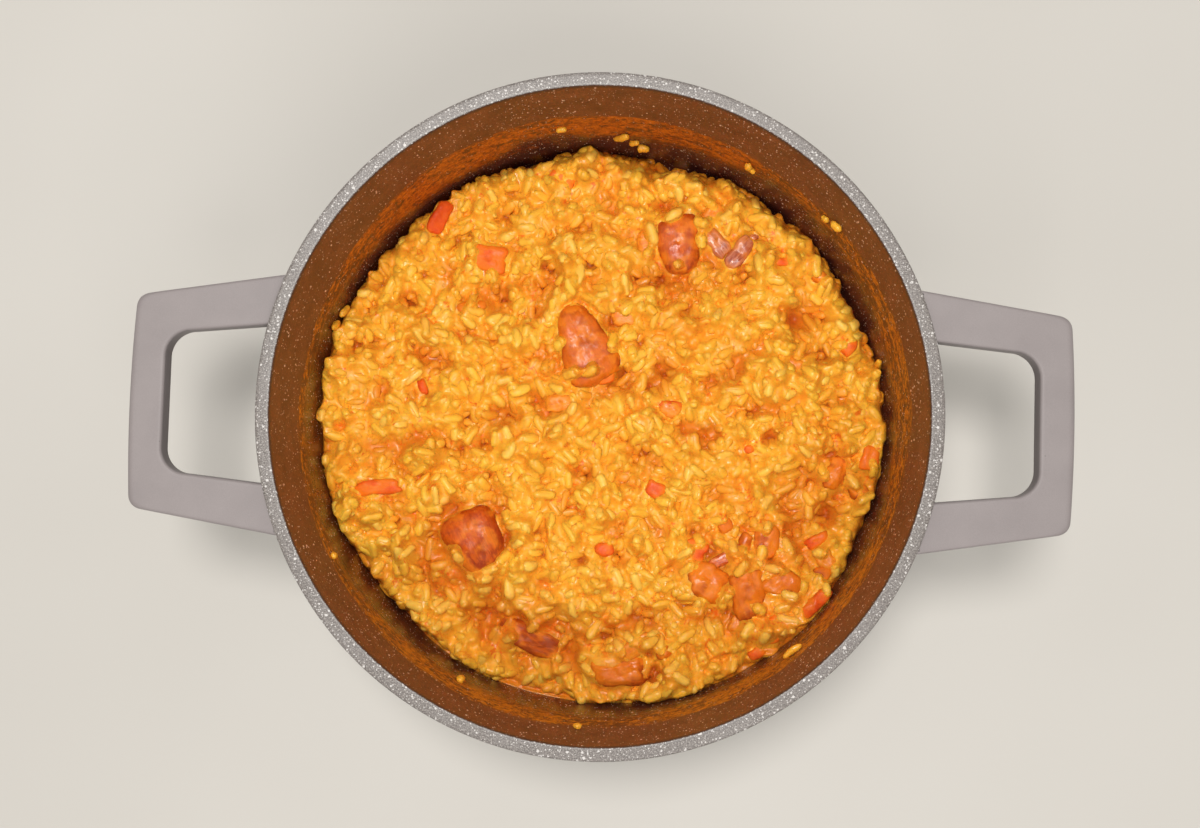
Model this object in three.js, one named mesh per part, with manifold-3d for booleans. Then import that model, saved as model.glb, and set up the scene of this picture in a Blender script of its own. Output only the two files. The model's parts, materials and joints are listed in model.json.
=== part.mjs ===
// A two-handled cooking pan filled with saucy rice, chorizo and pepper.
// Millimetres, +Z up. The origin is the centre of the pan's flat base.
// The two handles lie on +X and -X; the front of the pan is -Y.
import * as THREE from 'three';
import { mergeVertices } from 'three/addons/utils/BufferGeometryUtils.js';
import Module from 'manifold-3d';

// ---------------------------------------------------------------- pan
const PAN_HEIGHT = 115;
const RIM_OUTER_R = 125.25;
const RIM_INNER_R = 120;
const RIM_CHAMFER = 0.7;
const WALL_TAPER_TO_R = 118.1;     // inner radius at WALL_TAPER_Z
const WALL_TAPER_Z = 50;
const CORNER_R_IN = 22;            // inside corner between wall and floor
const FLOOR_Z = 6;                 // top of the floor
const BASE_R = 98;                 // flat contact face
const BASE_FOOT = 0.9;             // small chamfer round the contact face
const CORNER_R_OUT = 25;
const WALL_LOW_OUTER_R = 121.4;    // outer radius where the corner begins
const TURNS = 56;                  // facets round the pan

// ---------------------------------------------------------------- handles
const HANDLE_END_X = 172.3;
const HANDLE_END_BOW = 1.1;        // how far the end edge bows outward
const HANDLE_HALF_W_END = 39.3;
const HANDLE_HALF_W_ROOT = 48.4;
const HANDLE_ROOT_X = 115.2;
const HANDLE_CORNER_R = 5;
const HANDLE_FIT_R = 125.75;       // the root is hollowed to clear the wall
const GAP_END_X = 159.7;
const GAP_HALF_W_END = 26.4;
const GAP_HALF_W_ROOT = 29.4;
const GAP_CORNER_R = 9.5;
const HANDLE_T = 10.5;
const HANDLE_TOP_Z = 111;          // at the root
const HANDLE_RISE = 0.04;          // upward slope of the plate, mm per mm
const HANDLE_EDGE_R = 1.1;         // small round along the flat top face
const HANDLE_UNDER_R = 3.8;        // deep round of the underside
const LUG_W = 10;
const LUG_REACH_X = 141;
const LUG_H = 8.5;
const LUG_Y = 38.2;
const LUG_GAP = 0.35;

// ---------------------------------------------------------------- rice
const GAP = 0.32;                  // clearance between touching solids
const RICE_LEVEL = 46;             // height of the rice over the base
const RICE_RINGS = 10;
const RICE_ROUND = 3.2;            // rounding of the heap's edge

// ---------------------------------------------------------------- helpers
const wasm = await Module();
wasm.setup();

function toManifold(geometry) {
  const g = geometry.clone();
  g.deleteAttribute('normal');
  g.deleteAttribute('uv');
  const merged = mergeVertices(g, 1e-4);
  return new wasm.Manifold(new wasm.Mesh({
    numProp: 3,
    vertProperties: new Float32Array(merged.attributes.position.array),
    triVerts: new Uint32Array(merged.index.array),
  }));
}

function fromManifold(solid) {
  const mesh = solid.getMesh();
  const g = new THREE.BufferGeometry();
  g.setAttribute('position', new THREE.BufferAttribute(new Float32Array(mesh.vertProperties), 3));
  g.setIndex(new THREE.BufferAttribute(new Uint32Array(mesh.triVerts), 1));
  g.computeVertexNormals();
  return g;
}

function arc(cx, cz, r, from, to, steps) {
  const out = [];
  for (let i = 0; i <= steps; i += 1) {
    const a = THREE.MathUtils.degToRad(from + ((to - from) * i) / steps);
    out.push([cx + r * Math.cos(a), cz + r * Math.sin(a)]);
  }
  return out;
}

// a smooth, repeatable wobble in three dimensions, about -1 to 1
function wobble(x, y, z, seed) {
  return (Math.sin(x * 1.7 + seed * 1.31 + 1.1 * Math.sin(y * 1.3 + seed))
    + Math.sin(y * 1.9 + seed * 2.17 + 1.3 * Math.sin(z * 1.1 + seed * 0.7))
    + Math.sin(z * 2.1 + seed * 0.73 + 0.9 * Math.sin(x * 1.6 + seed * 1.9))) / 3;
}

// ---------------------------------------------------------------- pan body
function innerWallRadius(z) {
  const cornerTop = FLOOR_Z + CORNER_R_IN;
  const slope = (RIM_INNER_R - WALL_TAPER_TO_R) / (PAN_HEIGHT - WALL_TAPER_Z);
  const wall = (h) => WALL_TAPER_TO_R + slope * (h - WALL_TAPER_Z);
  if (z >= cornerTop) return wall(z);
  const dz = cornerTop - Math.max(z, FLOOR_Z);
  return wall(cornerTop) - CORNER_R_IN + Math.sqrt(Math.max(CORNER_R_IN ** 2 - dz ** 2, 0));
}

function panProfile() {
  const pts = [];
  pts.push([0, 0], [BASE_R - BASE_FOOT, 0], [BASE_R, BASE_FOOT]);
  // outside corner
  const cx = WALL_LOW_OUTER_R - CORNER_R_OUT;
  pts.push(...arc(cx, CORNER_R_OUT + 1.2, CORNER_R_OUT, -70, 0, 3));
  pts.push([RIM_OUTER_R - 0.9, PAN_HEIGHT * 0.72]);
  pts.push([RIM_OUTER_R, PAN_HEIGHT - RIM_CHAMFER]);
  pts.push([RIM_OUTER_R - RIM_CHAMFER, PAN_HEIGHT]);
  pts.push([RIM_INNER_R + RIM_CHAMFER, PAN_HEIGHT]);
  pts.push([RIM_INNER_R, PAN_HEIGHT - RIM_CHAMFER]);
  const cornerTop = FLOOR_Z + CORNER_R_IN;
  for (const z of [WALL_TAPER_Z + 18, cornerTop]) pts.push([innerWallRadius(z), z]);
  const icx = innerWallRadius(cornerTop) - CORNER_R_IN;
  pts.push(...arc(icx, cornerTop, CORNER_R_IN, -22.5, -90, 3));
  pts.push([0, FLOOR_Z]);
  return pts.map(([r, z]) => new THREE.Vector2(r, z));
}

function latheZ(points) {
  const g = new THREE.LatheGeometry(points, TURNS);
  g.rotateX(Math.PI / 2);          // lathe axis Y becomes Z
  return g;
}

function lug(sideX, sideY) {
  const x0 = 116.5;
  const s = new THREE.Shape();
  const half = LUG_W / 2;
  s.moveTo(x0, -half);
  s.lineTo(LUG_REACH_X - half, -half);
  s.absarc(LUG_REACH_X - half, 0, half, -Math.PI / 2, Math.PI / 2, false);
  s.lineTo(x0, half);
  s.closePath();
  const g = new THREE.ExtrudeGeometry(s, { depth: LUG_H, bevelEnabled: false, curveSegments: 4 });
  g.translate(0, LUG_Y, HANDLE_TOP_Z - HANDLE_T - LUG_GAP - LUG_H);
  riseOutward(g);
  mirrorTo(g, sideX, sideY);
  return g;
}

// lifts a shape by the handle's slope, measured from the root
function riseOutward(g) {
  const p = g.attributes.position;
  for (let i = 0; i < p.count; i += 1) {
    p.setZ(i, p.getZ(i) + HANDLE_RISE * (p.getX(i) - HANDLE_ROOT_X));
  }
  p.needsUpdate = true;
}

// keeps faces outward when a shape is mirrored
function mirrorTo(g, sx, sy) {
  const p = g.attributes.position;
  for (let i = 0; i < p.count; i += 1) p.setXY(i, p.getX(i) * sx, p.getY(i) * sy);
  if (sx * sy < 0) {
    if (g.index) {
      const a = g.index.array;
      for (let i = 0; i < a.length; i += 3) [a[i + 1], a[i + 2]] = [a[i + 2], a[i + 1]];
    } else {
      for (let i = 0; i < p.count; i += 3) {
        const b = [p.getX(i + 1), p.getY(i + 1), p.getZ(i + 1)];
        p.setXYZ(i + 1, p.getX(i + 2), p.getY(i + 2), p.getZ(i + 2));
        p.setXYZ(i + 2, ...b);
      }
    }
  }
  p.needsUpdate = true;
}

function panBody() {
  let solid = toManifold(latheZ(panProfile()));
  for (const sx of [1, -1]) for (const sy of [1, -1]) solid = solid.add(toManifold(lug(sx, sy)));
  return fromManifold(solid);
}

// ---------------------------------------------------------------- handles
// points along a quadratic curve, and along a circle, without the first point
function curveTo(out, ctrl, end, steps) {
  const [x0, y0] = out[out.length - 1];
  for (let i = 1; i <= steps; i += 1) {
    const t = i / steps;
    const u = 1 - t;
    out.push([u * u * x0 + 2 * u * t * ctrl[0] + t * t * end[0],
      u * u * y0 + 2 * u * t * ctrl[1] + t * t * end[1]]);
  }
}

function arcTo(out, cx, cy, r, from, to, steps) {
  for (let i = 0; i <= steps; i += 1) {
    const a = from + ((to - from) * i) / steps;
    const q = [cx + r * Math.cos(a), cy + r * Math.sin(a)];
    const l = out[out.length - 1];
    if (Math.hypot(q[0] - l[0], q[1] - l[1]) > 0.2) out.push(q);
  }
}

// the closed outline moved inward by d, with mitred corners
function insetOutline(pts, d) {
  const n = pts.length;
  return pts.map(([x, y], i) => {
    const [px, py] = pts[(i + n - 1) % n];
    const [qx, qy] = pts[(i + 1) % n];
    const l1 = Math.hypot(x - px, y - py);
    const l2 = Math.hypot(qx - x, qy - y);
    const n1 = [-(y - py) / l1, (x - px) / l1];
    const n2 = [-(qy - y) / l2, (qx - x) / l2];
    const k = d / Math.max(1 + n1[0] * n2[0] + n1[1] * n2[1], 0.45);
    return [x + (n1[0] + n2[0]) * k, y + (n1[1] + n2[1]) * k];
  });
}

function handlePlate(sideX) {
  const rootY = HANDLE_HALF_W_ROOT;
  const rootX = Math.sqrt(HANDLE_FIT_R ** 2 - rootY ** 2);
  const endX = HANDLE_END_X - HANDLE_END_BOW;
  const c = HANDLE_CORNER_R;
  const w = HANDLE_HALF_W_END;
  const out = [[rootX, -rootY]];
  out.push([endX - c, -w - c * 0.12]);
  curveTo(out, [endX, -w], [endX + 0.2, -w + c], 3);
  curveTo(out, [endX + 2 * HANDLE_END_BOW, 0], [endX + 0.2, w - c], 8);
  curveTo(out, [endX, w], [endX - c, w + c * 0.12], 3);
  out.push([rootX, rootY]);
  // follow the wall down to the gap, run round the gap, and back to the wall
  const gapY = GAP_HALF_W_ROOT;
  const gapX = Math.sqrt(HANDLE_FIT_R ** 2 - gapY ** 2);
  const a0 = Math.atan2(rootY, rootX);
  const a1 = Math.atan2(gapY, gapX);
  arcTo(out, 0, 0, HANDLE_FIT_R, a0, a1, 4);
  const g = GAP_CORNER_R;
  out.push([GAP_END_X - g, GAP_HALF_W_END]);
  arcTo(out, GAP_END_X - g, GAP_HALF_W_END - g, g, Math.PI / 2, 0, 5);
  arcTo(out, GAP_END_X - g, -(GAP_HALF_W_END - g), g, 0, -Math.PI / 2, 5);
  out.push([gapX, -gapY]);
  arcTo(out, 0, 0, HANDLE_FIT_R, -a1, -a0, 4);
  out.pop();                                   // the outline closes on its start
  // a D section: flat top with a small round, underside with a deep one
  const top = HANDLE_TOP_Z;
  const e = HANDLE_EDGE_R;
  const u = HANDLE_UNDER_R;
  const low = top - HANDLE_T;
  const levels = [[e, top], [e * 0.3, top - e * 0.3], [0, top - e], [0, low + u],
    [u * 0.13, low + u * 0.5], [u * 0.5, low + u * 0.13], [u, low]];
  const n = out.length;
  const verts = [];
  const tris = [];
  const rings = levels.map(([d]) => insetOutline(out, d));
  rings.forEach((ring, i) => ring.forEach(([x, y]) => verts.push(x, y, levels[i][1])));
  for (let i = 1; i < rings.length; i += 1) {
    for (let j = 0; j < n; j += 1) {
      const k = (j + 1) % n;
      const [a, b, c, d] = [(i - 1) * n + j, (i - 1) * n + k, i * n + j, i * n + k];
      tris.push(a, c, d, a, d, b);
    }
  }
  const cap = (ring) => THREE.ShapeUtils.triangulateShape(
    ring.map(([x, y]) => new THREE.Vector2(x, y)), []);
  for (const [p, q, r] of cap(rings[0])) tris.push(p, q, r);
  const base = (rings.length - 1) * n;
  for (const [p, q, r] of cap(rings[rings.length - 1])) tris.push(base + p, base + r, base + q);
  const geo = new THREE.BufferGeometry();
  geo.setAttribute('position', new THREE.BufferAttribute(new Float32Array(verts), 3));
  geo.setIndex(tris);
  riseOutward(geo);
  mirrorTo(geo, sideX, 1);
  geo.computeVertexNormals();
  return geo;
}

// ---------------------------------------------------------------- rice heap
// mounds and hollows of the surface: x, y, radius, height
const RELIEF = [
  [4, 0, 76, 3.2], [-50, -53, 19, -7.0], [-29, -91, 16, -5.0], [-68, -74, 15, 2.4],
  [30, 72, 16, -2.4], [-9, 32, 20, -1.8], [-44, 50, 20, -2.4], [60, 42, 24, 2.6],
  [64, 66, 20, 2.0], [61, -64, 22, -1.6], [4, -100, 18, -1.8], [100, -26, 17, -1.8],
  [-84, 18, 26, 1.8], [16, 2, 24, -1.4], [36, -24, 22, 1.6], [-78, -40, 20, 1.6],
  [-20, 84, 22, 1.6], [86, 16, 20, 1.6], [-12, -60, 24, 1.8], [72, -30, 18, -1.4],
];
// sections round the pan, degrees anticlockwise from +X: edge drop and how far
// the heap has slumped away from the wall
const EDGE = [
  [0, -2.5, 0], [8, 0.5, 2.0], [13, 0.8, 0.4], [20, 2.5, 4.8], [34, 3.5, 4.8],
  [46, 4.0, 4.0], [51, 4.5, 7.4], [62, 4.0, 4.2], [70, 4.5, 6.5], [78, 5.5, 10.8],
  [88, 5.0, 8.8], [95, 4.0, 3.6], [106, 5.0, 8.0], [120, 4.5, 5.0], [134, 4.5, 4.2],
  [150, 3.0, 2.6], [158, 1.0, 1.0], [166, -0.5, 0], [180, -0.5, 0], [189, 2.5, 0.3],
  [200, -1.5, 0], [210, 5.0, 0.8], [222, 8.5, 1.8], [236, 10.5, 3.0], [250, 10.0, 2.6],
  [262, 10.5, 3.2], [271, 7.0, 0.6], [280, -0.5, 0], [290, -4.0, 0], [306, -3.5, 0],
  [318, -5.5, 0], [328, 0.0, 0], [338, 3.5, 1.5], [348, 0.5, 0], [355, -3.5, 0],
  [360, -2.5, 0],
];

function edgeAt(deg) {
  const d = ((deg % 360) + 360) % 360;
  for (let i = 1; i < EDGE.length; i += 1) {
    if (d <= EDGE[i][0]) {
      const [a, da, ga] = EDGE[i - 1];
      const [b, db, gb] = EDGE[i];
      let t = (d - a) / (b - a);
      t = t * t * (3 - 2 * t);
      return { drop: da + (db - da) * t, slump: ga + (gb - ga) * t };
    }
  }
  return { drop: EDGE[0][1], slump: EDGE[0][2] };
}

function riceHeight(x, y) {
  const r = Math.hypot(x, y);
  const deg = THREE.MathUtils.radToDeg(Math.atan2(y, x));
  let z = RICE_LEVEL;
  for (const [bx, by, br, bh] of RELIEF) {
    z += bh * Math.exp(-((x - bx) ** 2 + (y - by) ** 2) / (br * br));
  }
  z += 0.7 * wobble(x / 11, y / 11, 0.3, 3.7);
  const t = Math.min(Math.max((r - 62) / 52, 0), 1);
  return z - edgeAt(deg).drop * t * t * (3 - 2 * t);
}

function riceMass() {
  const verts = [];
  const tris = [];
  const rings = [];
  const ring = (fn) => {
    const start = verts.length / 3;
    for (let j = 0; j < TURNS; j += 1) {
      const deg = (360 * j) / TURNS;
      const a = THREE.MathUtils.degToRad(deg);
      const [r, z] = fn(a, deg);
      verts.push(r * Math.cos(a), r * Math.sin(a), z);
    }
    rings.push(start);
  };
  verts.push(0, 0, riceHeight(0, 0));
  const edgeR = (deg) => innerWallRadius(RICE_LEVEL - 16) - GAP - edgeAt(deg).slump;
  for (let i = 1; i <= RICE_RINGS; i += 1) {
    const f = (i / RICE_RINGS) ** 0.9;
    ring((a, deg) => {
      const r = f * (edgeR(deg) - RICE_ROUND * 0.55);
      return [r, riceHeight(r * Math.cos(a), r * Math.sin(a))];
    });
  }
  // rounded edge, then the slope down to where the heap meets the wall
  ring((a, deg) => {
    const r = edgeR(deg);
    return [r, riceHeight(r * Math.cos(a), r * Math.sin(a)) - RICE_ROUND * 0.6];
  });
  ring((a, deg) => {
    const r = edgeR(deg);
    const z = riceHeight(r * Math.cos(a), r * Math.sin(a)) - RICE_ROUND - edgeAt(deg).slump * 1.1;
    return [innerWallRadius(z) - GAP, z];
  });
  const cornerTop = FLOOR_Z + CORNER_R_IN;
  const cx = innerWallRadius(cornerTop) - CORNER_R_IN;
  ring(() => [innerWallRadius(cornerTop) - GAP, cornerTop]);
  for (const [r, z] of arc(cx, cornerTop, CORNER_R_IN - GAP, -22.5, -90, 3)) ring(() => [r, z]);
  verts.push(0, 0, FLOOR_Z + GAP);
  const last = verts.length / 3 - 1;
  for (let j = 0; j < TURNS; j += 1) {
    const k = (j + 1) % TURNS;
    tris.push(0, rings[0] + j, rings[0] + k);
    for (let i = 1; i < rings.length; i += 1) {
      const a = rings[i - 1] + j;
      const b = rings[i - 1] + k;
      const c = rings[i] + j;
      const d = rings[i] + k;
      tris.push(a, c, d, a, d, b);
    }
    tris.push(rings[rings.length - 1] + j, last, rings[rings.length - 1] + k);
  }
  const g = new THREE.BufferGeometry();
  g.setAttribute('position', new THREE.BufferAttribute(new Float32Array(verts), 3));
  g.setIndex(tris);
  return g;
}

// ---------------------------------------------------------------- pieces
// An irregular cut piece: a ball squared off by `box` (0 round, 1 boxy), made
// uneven by `rough`, sized length x width x thickness, turned by `yaw`, tipped,
// and sunk so that `show` of its thickness stands over the rice.
function pieceGeometry(p, grow = 0) {
  const g = new THREE.IcosahedronGeometry(1, p.detail ?? 2);
  const pos = g.attributes.position;
  const v = new THREE.Vector3();
  const n = 2 + (p.box ?? 0.4) * 4;
  const a = p.size[0] / 2 + grow;
  const b = p.size[1] / 2 + grow;
  const c = p.size[2] / 2 + grow;
  for (let i = 0; i < pos.count; i += 1) {
    v.fromBufferAttribute(pos, i).normalize();
    const s = (Math.abs(v.x) ** n + Math.abs(v.y) ** n + Math.abs(v.z) ** n) ** (-1 / n);
    const k = 1 + (p.rough ?? 0.1) * wobble(v.x * 1.4, v.y * 1.4, v.z * 1.4, p.seed);
    let x = v.x * s * k;
    let y = v.y * s * k;
    const z = v.z * s * k;
    y *= 1 + (p.taper ?? 0) * x;                 // wedge
    y += (p.bend ?? 0) * (x * x - 0.4);          // banana
    pos.setXYZ(i, x * a, y * b, z * c);
  }
  const m = new THREE.Matrix4().makeRotationFromEuler(new THREE.Euler(
    THREE.MathUtils.degToRad(p.tip?.[0] ?? 0),
    THREE.MathUtils.degToRad(p.tip?.[1] ?? 0),
    THREE.MathUtils.degToRad(p.yaw), 'ZYX'));
  g.applyMatrix4(m);
  const z = riceHeight(p.at[0], p.at[1]) + p.size[2] * ((p.show ?? 0.4) - 0.5);
  g.translate(p.at[0], p.at[1], z);
  return g;
}

const CHORIZO = { color: 0xc4552c, roughness: 0.38 };
const SKIN = { color: 0x8e2c1c, roughness: 0.35 };
const ONION = { color: 0xc8856a, roughness: 0.35 };
const PEPPER = { color: 0xe0512a, roughness: 0.4 };

const PIECES = [
  // chorizo
  { name: 'chorizo_upper_right', mat: CHORIZO, at: [29.6, 73.4], size: [26, 15.5, 12], yaw: 97, box: 0.35, rough: 0.12, taper: -0.12, bend: 0.08, show: 0.45, seed: 1.2 },
  { name: 'chorizo_centre', mat: CHORIZO, at: [-8.4, 32.4], size: [31.5, 18, 12], yaw: 116, box: 0.4, rough: 0.16, taper: 0.1, show: 0.42, seed: 2.9 },
  { name: 'chorizo_large', mat: CHORIZO, at: [-50.6, -51.2], size: [26, 23, 17], yaw: -62, box: 0.45, rough: 0.14, taper: -0.22, show: 0.62, seed: 4.4 },
  { name: 'chorizo_cluster_left', mat: CHORIZO, at: [44.6, -64.2], size: [13.6, 11.4, 9], yaw: -28, box: 0.3, rough: 0.12, show: 0.5, seed: 5.1, detail: 1 },
  { name: 'chorizo_cluster_middle', mat: CHORIZO, at: [61.4, -67.6], size: [18.5, 12, 9.5], yaw: 102, box: 0.3, rough: 0.16, show: 0.5, seed: 6.6, detail: 1 },
  { name: 'chorizo_cluster_right', mat: CHORIZO, at: [74.2, -65.4], size: [10.8, 8.6, 8], yaw: 32, box: 0.35, rough: 0.14, show: 0.5, seed: 7.3, detail: 1 },
  { name: 'chorizo_skin_strip', mat: SKIN, at: [52.6, -54.4], size: [13.4, 4.2, 4.4], yaw: 33, box: 0.3, rough: 0.1, bend: 0.25, show: 0.5, seed: 8.4, detail: 1 },
  { name: 'chorizo_cluster_back', mat: CHORIZO, at: [68.6, -48.0], size: [10.2, 7.2, 6.5], yaw: 84, box: 0.3, rough: 0.14, show: 0.35, seed: 9.2, detail: 1 },
  { name: 'chorizo_front', mat: CHORIZO, at: [11.0, -102.2], size: [23, 12.6, 10.5], yaw: 3, box: 0.35, rough: 0.16, show: 0.5, seed: 10.8, detail: 1 },
  { name: 'chorizo_right', mat: CHORIZO, at: [97.4, -19.2], size: [14.2, 9.4, 7.6], yaw: 70, box: 0.25, rough: 0.12, show: 0.45, seed: 11.5, detail: 1 },
  { name: 'chorizo_right_outer', mat: CHORIZO, at: [106.6, -26.2], size: [9.6, 7.6, 6.4], yaw: -38, box: 0.3, rough: 0.14, show: 0.4, seed: 12.7, detail: 1 },
  { name: 'chorizo_sunk', mat: CHORIZO, at: [-28.0, -91.0], size: [26, 9.6, 8], yaw: -22, box: 0.3, rough: 0.16, show: 0.4, seed: 13.9, detail: 1 },
  // onion, two wedges leaning together
  { name: 'onion_left', mat: ONION, at: [46.0, 75.6], size: [12.6, 4.6, 4.6], yaw: -50, box: 0.3, rough: 0.1, show: 0.45, seed: 14.3, detail: 1 },
  { name: 'onion_right', mat: ONION, at: [54.8, 71.0], size: [11.8, 4.6, 4.6], yaw: 50, box: 0.3, rough: 0.1, show: 0.45, seed: 15.6, detail: 1 },
  // red pepper
  { name: 'pepper_upper_left', mat: PEPPER, at: [-49.6, 67.0], size: [16, 10.8, 5], yaw: -12, box: 0.5, rough: 0.14, show: 0.6, seed: 16.1, detail: 1 },
  { name: 'pepper_at_wall', mat: PEPPER, at: [-70.0, 82.6], size: [12.6, 6.8, 4.2], yaw: 66, box: 0.5, rough: 0.12, tip: [24, 0], show: 0.7, seed: 17.7, detail: 1 },
  { name: 'pepper_left', mat: PEPPER, at: [-91.4, -30.0], size: [17, 6.4, 4.2], yaw: 8, box: 0.5, rough: 0.1, show: 0.4, seed: 18.2, detail: 1 },
  { name: 'pepper_right_upper', mat: PEPPER, at: [90.4, -46.8], size: [10.6, 4.8, 4.2], yaw: 26, box: 0.45, rough: 0.1, show: 0.5, seed: 19.4, detail: 1 },
  { name: 'pepper_right_edge', mat: PEPPER, at: [88.6, -72.2], size: [14.4, 5.4, 5], yaw: 49, box: 0.45, rough: 0.1, show: 0.6, seed: 20.5, detail: 1 },
  { name: 'pepper_right_lower', mat: PEPPER, at: [72.8, -82.6], size: [12.4, 8.4, 4.4], yaw: 52, box: 0.5, rough: 0.1, show: 0.5, seed: 21.8, detail: 1 },
  { name: 'pepper_upper_right', mat: PEPPER, at: [72.6, 68.4], size: [15, 3.6, 3.8], yaw: 4, box: 0.45, rough: 0.1, show: 0.35, seed: 22.9, detail: 1 },
  { name: 'pepper_middle', mat: PEPPER, at: [39.0, -52.4], size: [10.4, 8.2, 4], yaw: -20, box: 0.45, rough: 0.1, show: 0.35, seed: 23.6, detail: 1 },
  { name: 'pepper_back', mat: PEPPER, at: [-19.8, 101.2], size: [10.2, 6, 4], yaw: -20, box: 0.45, rough: 0.1, show: 0.4, seed: 24.4, detail: 1 },
  { name: 'pepper_right', mat: PEPPER, at: [110.6, -12.0], size: [9.8, 7.2, 4.4], yaw: 72, box: 0.45, rough: 0.1, show: 0.3, seed: 25.9, detail: 1 },
];

// ---------------------------------------------------------------- assembly
const root = new THREE.Group();

function addMesh(name, geometry, { color, roughness, metalness = 0 }) {
  const m = new THREE.Mesh(geometry, new THREE.MeshStandardMaterial({ color, roughness, metalness }));
  m.name = name;
  root.add(m);
  return m;
}

addMesh('pan_body', panBody(), { color: 0x8f867f, roughness: 0.5, metalness: 0.1 });
const handles = new THREE.Group();
root.add(handles);
for (const [name, side] of [['handle_right', 1], ['handle_left', -1]]) {
  const m = new THREE.Mesh(handlePlate(side),
    new THREE.MeshStandardMaterial({ color: 0xa49d9a, roughness: 0.55, metalness: 0 }));
  m.name = name;
  handles.add(m);
}

let heap = toManifold(riceMass());
for (const p of PIECES) heap = heap.subtract(toManifold(pieceGeometry(p, GAP * 1.35)));
addMesh('rice_mass', fromManifold(heap), { color: 0xeb9a33, roughness: 0.45 });
for (const p of PIECES) addMesh(p.name, pieceGeometry(p), p.mat);

export default root;
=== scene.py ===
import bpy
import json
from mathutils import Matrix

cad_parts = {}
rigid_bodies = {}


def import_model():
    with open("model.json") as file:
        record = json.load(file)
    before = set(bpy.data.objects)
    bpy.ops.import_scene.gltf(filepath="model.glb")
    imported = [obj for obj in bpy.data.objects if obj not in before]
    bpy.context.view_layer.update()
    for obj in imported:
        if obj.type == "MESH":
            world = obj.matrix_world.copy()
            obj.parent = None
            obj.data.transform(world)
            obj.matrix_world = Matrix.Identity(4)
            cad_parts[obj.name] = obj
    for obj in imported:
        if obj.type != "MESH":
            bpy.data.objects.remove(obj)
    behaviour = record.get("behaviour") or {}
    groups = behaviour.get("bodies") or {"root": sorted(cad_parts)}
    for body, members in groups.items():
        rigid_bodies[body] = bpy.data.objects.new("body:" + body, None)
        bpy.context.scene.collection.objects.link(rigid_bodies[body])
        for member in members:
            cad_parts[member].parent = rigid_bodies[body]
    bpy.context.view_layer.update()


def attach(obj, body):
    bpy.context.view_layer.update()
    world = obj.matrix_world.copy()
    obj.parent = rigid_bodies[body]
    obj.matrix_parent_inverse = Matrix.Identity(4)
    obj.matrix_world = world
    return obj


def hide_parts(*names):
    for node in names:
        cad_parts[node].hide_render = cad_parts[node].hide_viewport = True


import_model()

import bpy
import json
import math
import numpy as np
from mathutils import Matrix, Vector

MM = 0.001
scene = bpy.context.scene
scene.view_settings.view_transform = "Standard"
scene.view_settings.look = "None"
scene.view_settings.exposure = 0.0
scene.view_settings.gamma = 1.0

# ------------------------------------------------------------------ camera
# looks down into the pan from a little in front and to the right of its axis
CAM_POS = np.array([11.1, -23.7, 584.9])
CAM_AIM = np.array([0.69, -0.55, 115.0])
CAM_ROLL = math.radians(-1.64)
LENS_PX = 1300.0


def camera_axes():
    f = CAM_AIM - CAM_POS
    f /= np.linalg.norm(f)
    r = np.cross(f, np.array([math.sin(CAM_ROLL), math.cos(CAM_ROLL), 0.0]))
    r /= np.linalg.norm(r)
    return r, np.cross(r, f), f


cam_data = bpy.data.cameras.new("camera")
cam_data.sensor_width = 36.0
cam_data.lens = 36.0 * LENS_PX / 1200.0
cam_data.clip_start = 0.01
cam_data.clip_end = 20.0
camera = bpy.data.objects.new("camera", cam_data)
scene.collection.objects.link(camera)
_r, _u, _f = camera_axes()
camera.matrix_world = Matrix((
    (_r[0], _u[0], -_f[0], CAM_POS[0] * MM),
    (_r[1], _u[1], -_f[1], CAM_POS[1] * MM),
    (_r[2], _u[2], -_f[2], CAM_POS[2] * MM),
    (0, 0, 0, 1)))
scene.camera = camera

# ------------------------------------------------------------------ sizes, mm
PAN_HEIGHT = 115.0
RIM_OUTER_R = 125.25
RIM_INNER_R = 120.0
WALL_TAPER_TO_R = 118.1
WALL_TAPER_Z = 50.0
CORNER_R_IN = 22.0
FLOOR_Z = 6.0
BASE_R = 98.0
CORNER_R_OUT = 25.0
WALL_LOW_OUTER_R = 121.4
HANDLE_END_X = 172.3
HANDLE_END_BOW = 1.1
HANDLE_HALF_W_END = 39.3
HANDLE_HALF_W_ROOT = 48.4
HANDLE_ROOT_X = 115.2
HANDLE_CORNER_R = 5.0
GAP_END_X = 159.7
GAP_HALF_W_END = 26.4
GAP_HALF_W_ROOT = 29.4
GAP_CORNER_R = 9.5
HANDLE_T = 10.5
HANDLE_TOP_Z = 111.0
HANDLE_RISE = 0.04
HANDLE_EDGE_R = 1.1
HANDLE_UNDER_R = 3.8
RICE_LEVEL = 46.0

# ------------------------------------------------------------------ noise


def _hash(ix, iy, iz, seed):
    h = (ix * 374761393 + iy * 668265263 + iz * 1440662683 + seed * 974634777) & 0xFFFFFFFF
    h = ((h ^ (h >> 13)) * 1274126177) & 0xFFFFFFFF
    h = (h ^ (h >> 16)) & 0xFFFFFF
    return h / float(0xFFFFFF)


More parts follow.
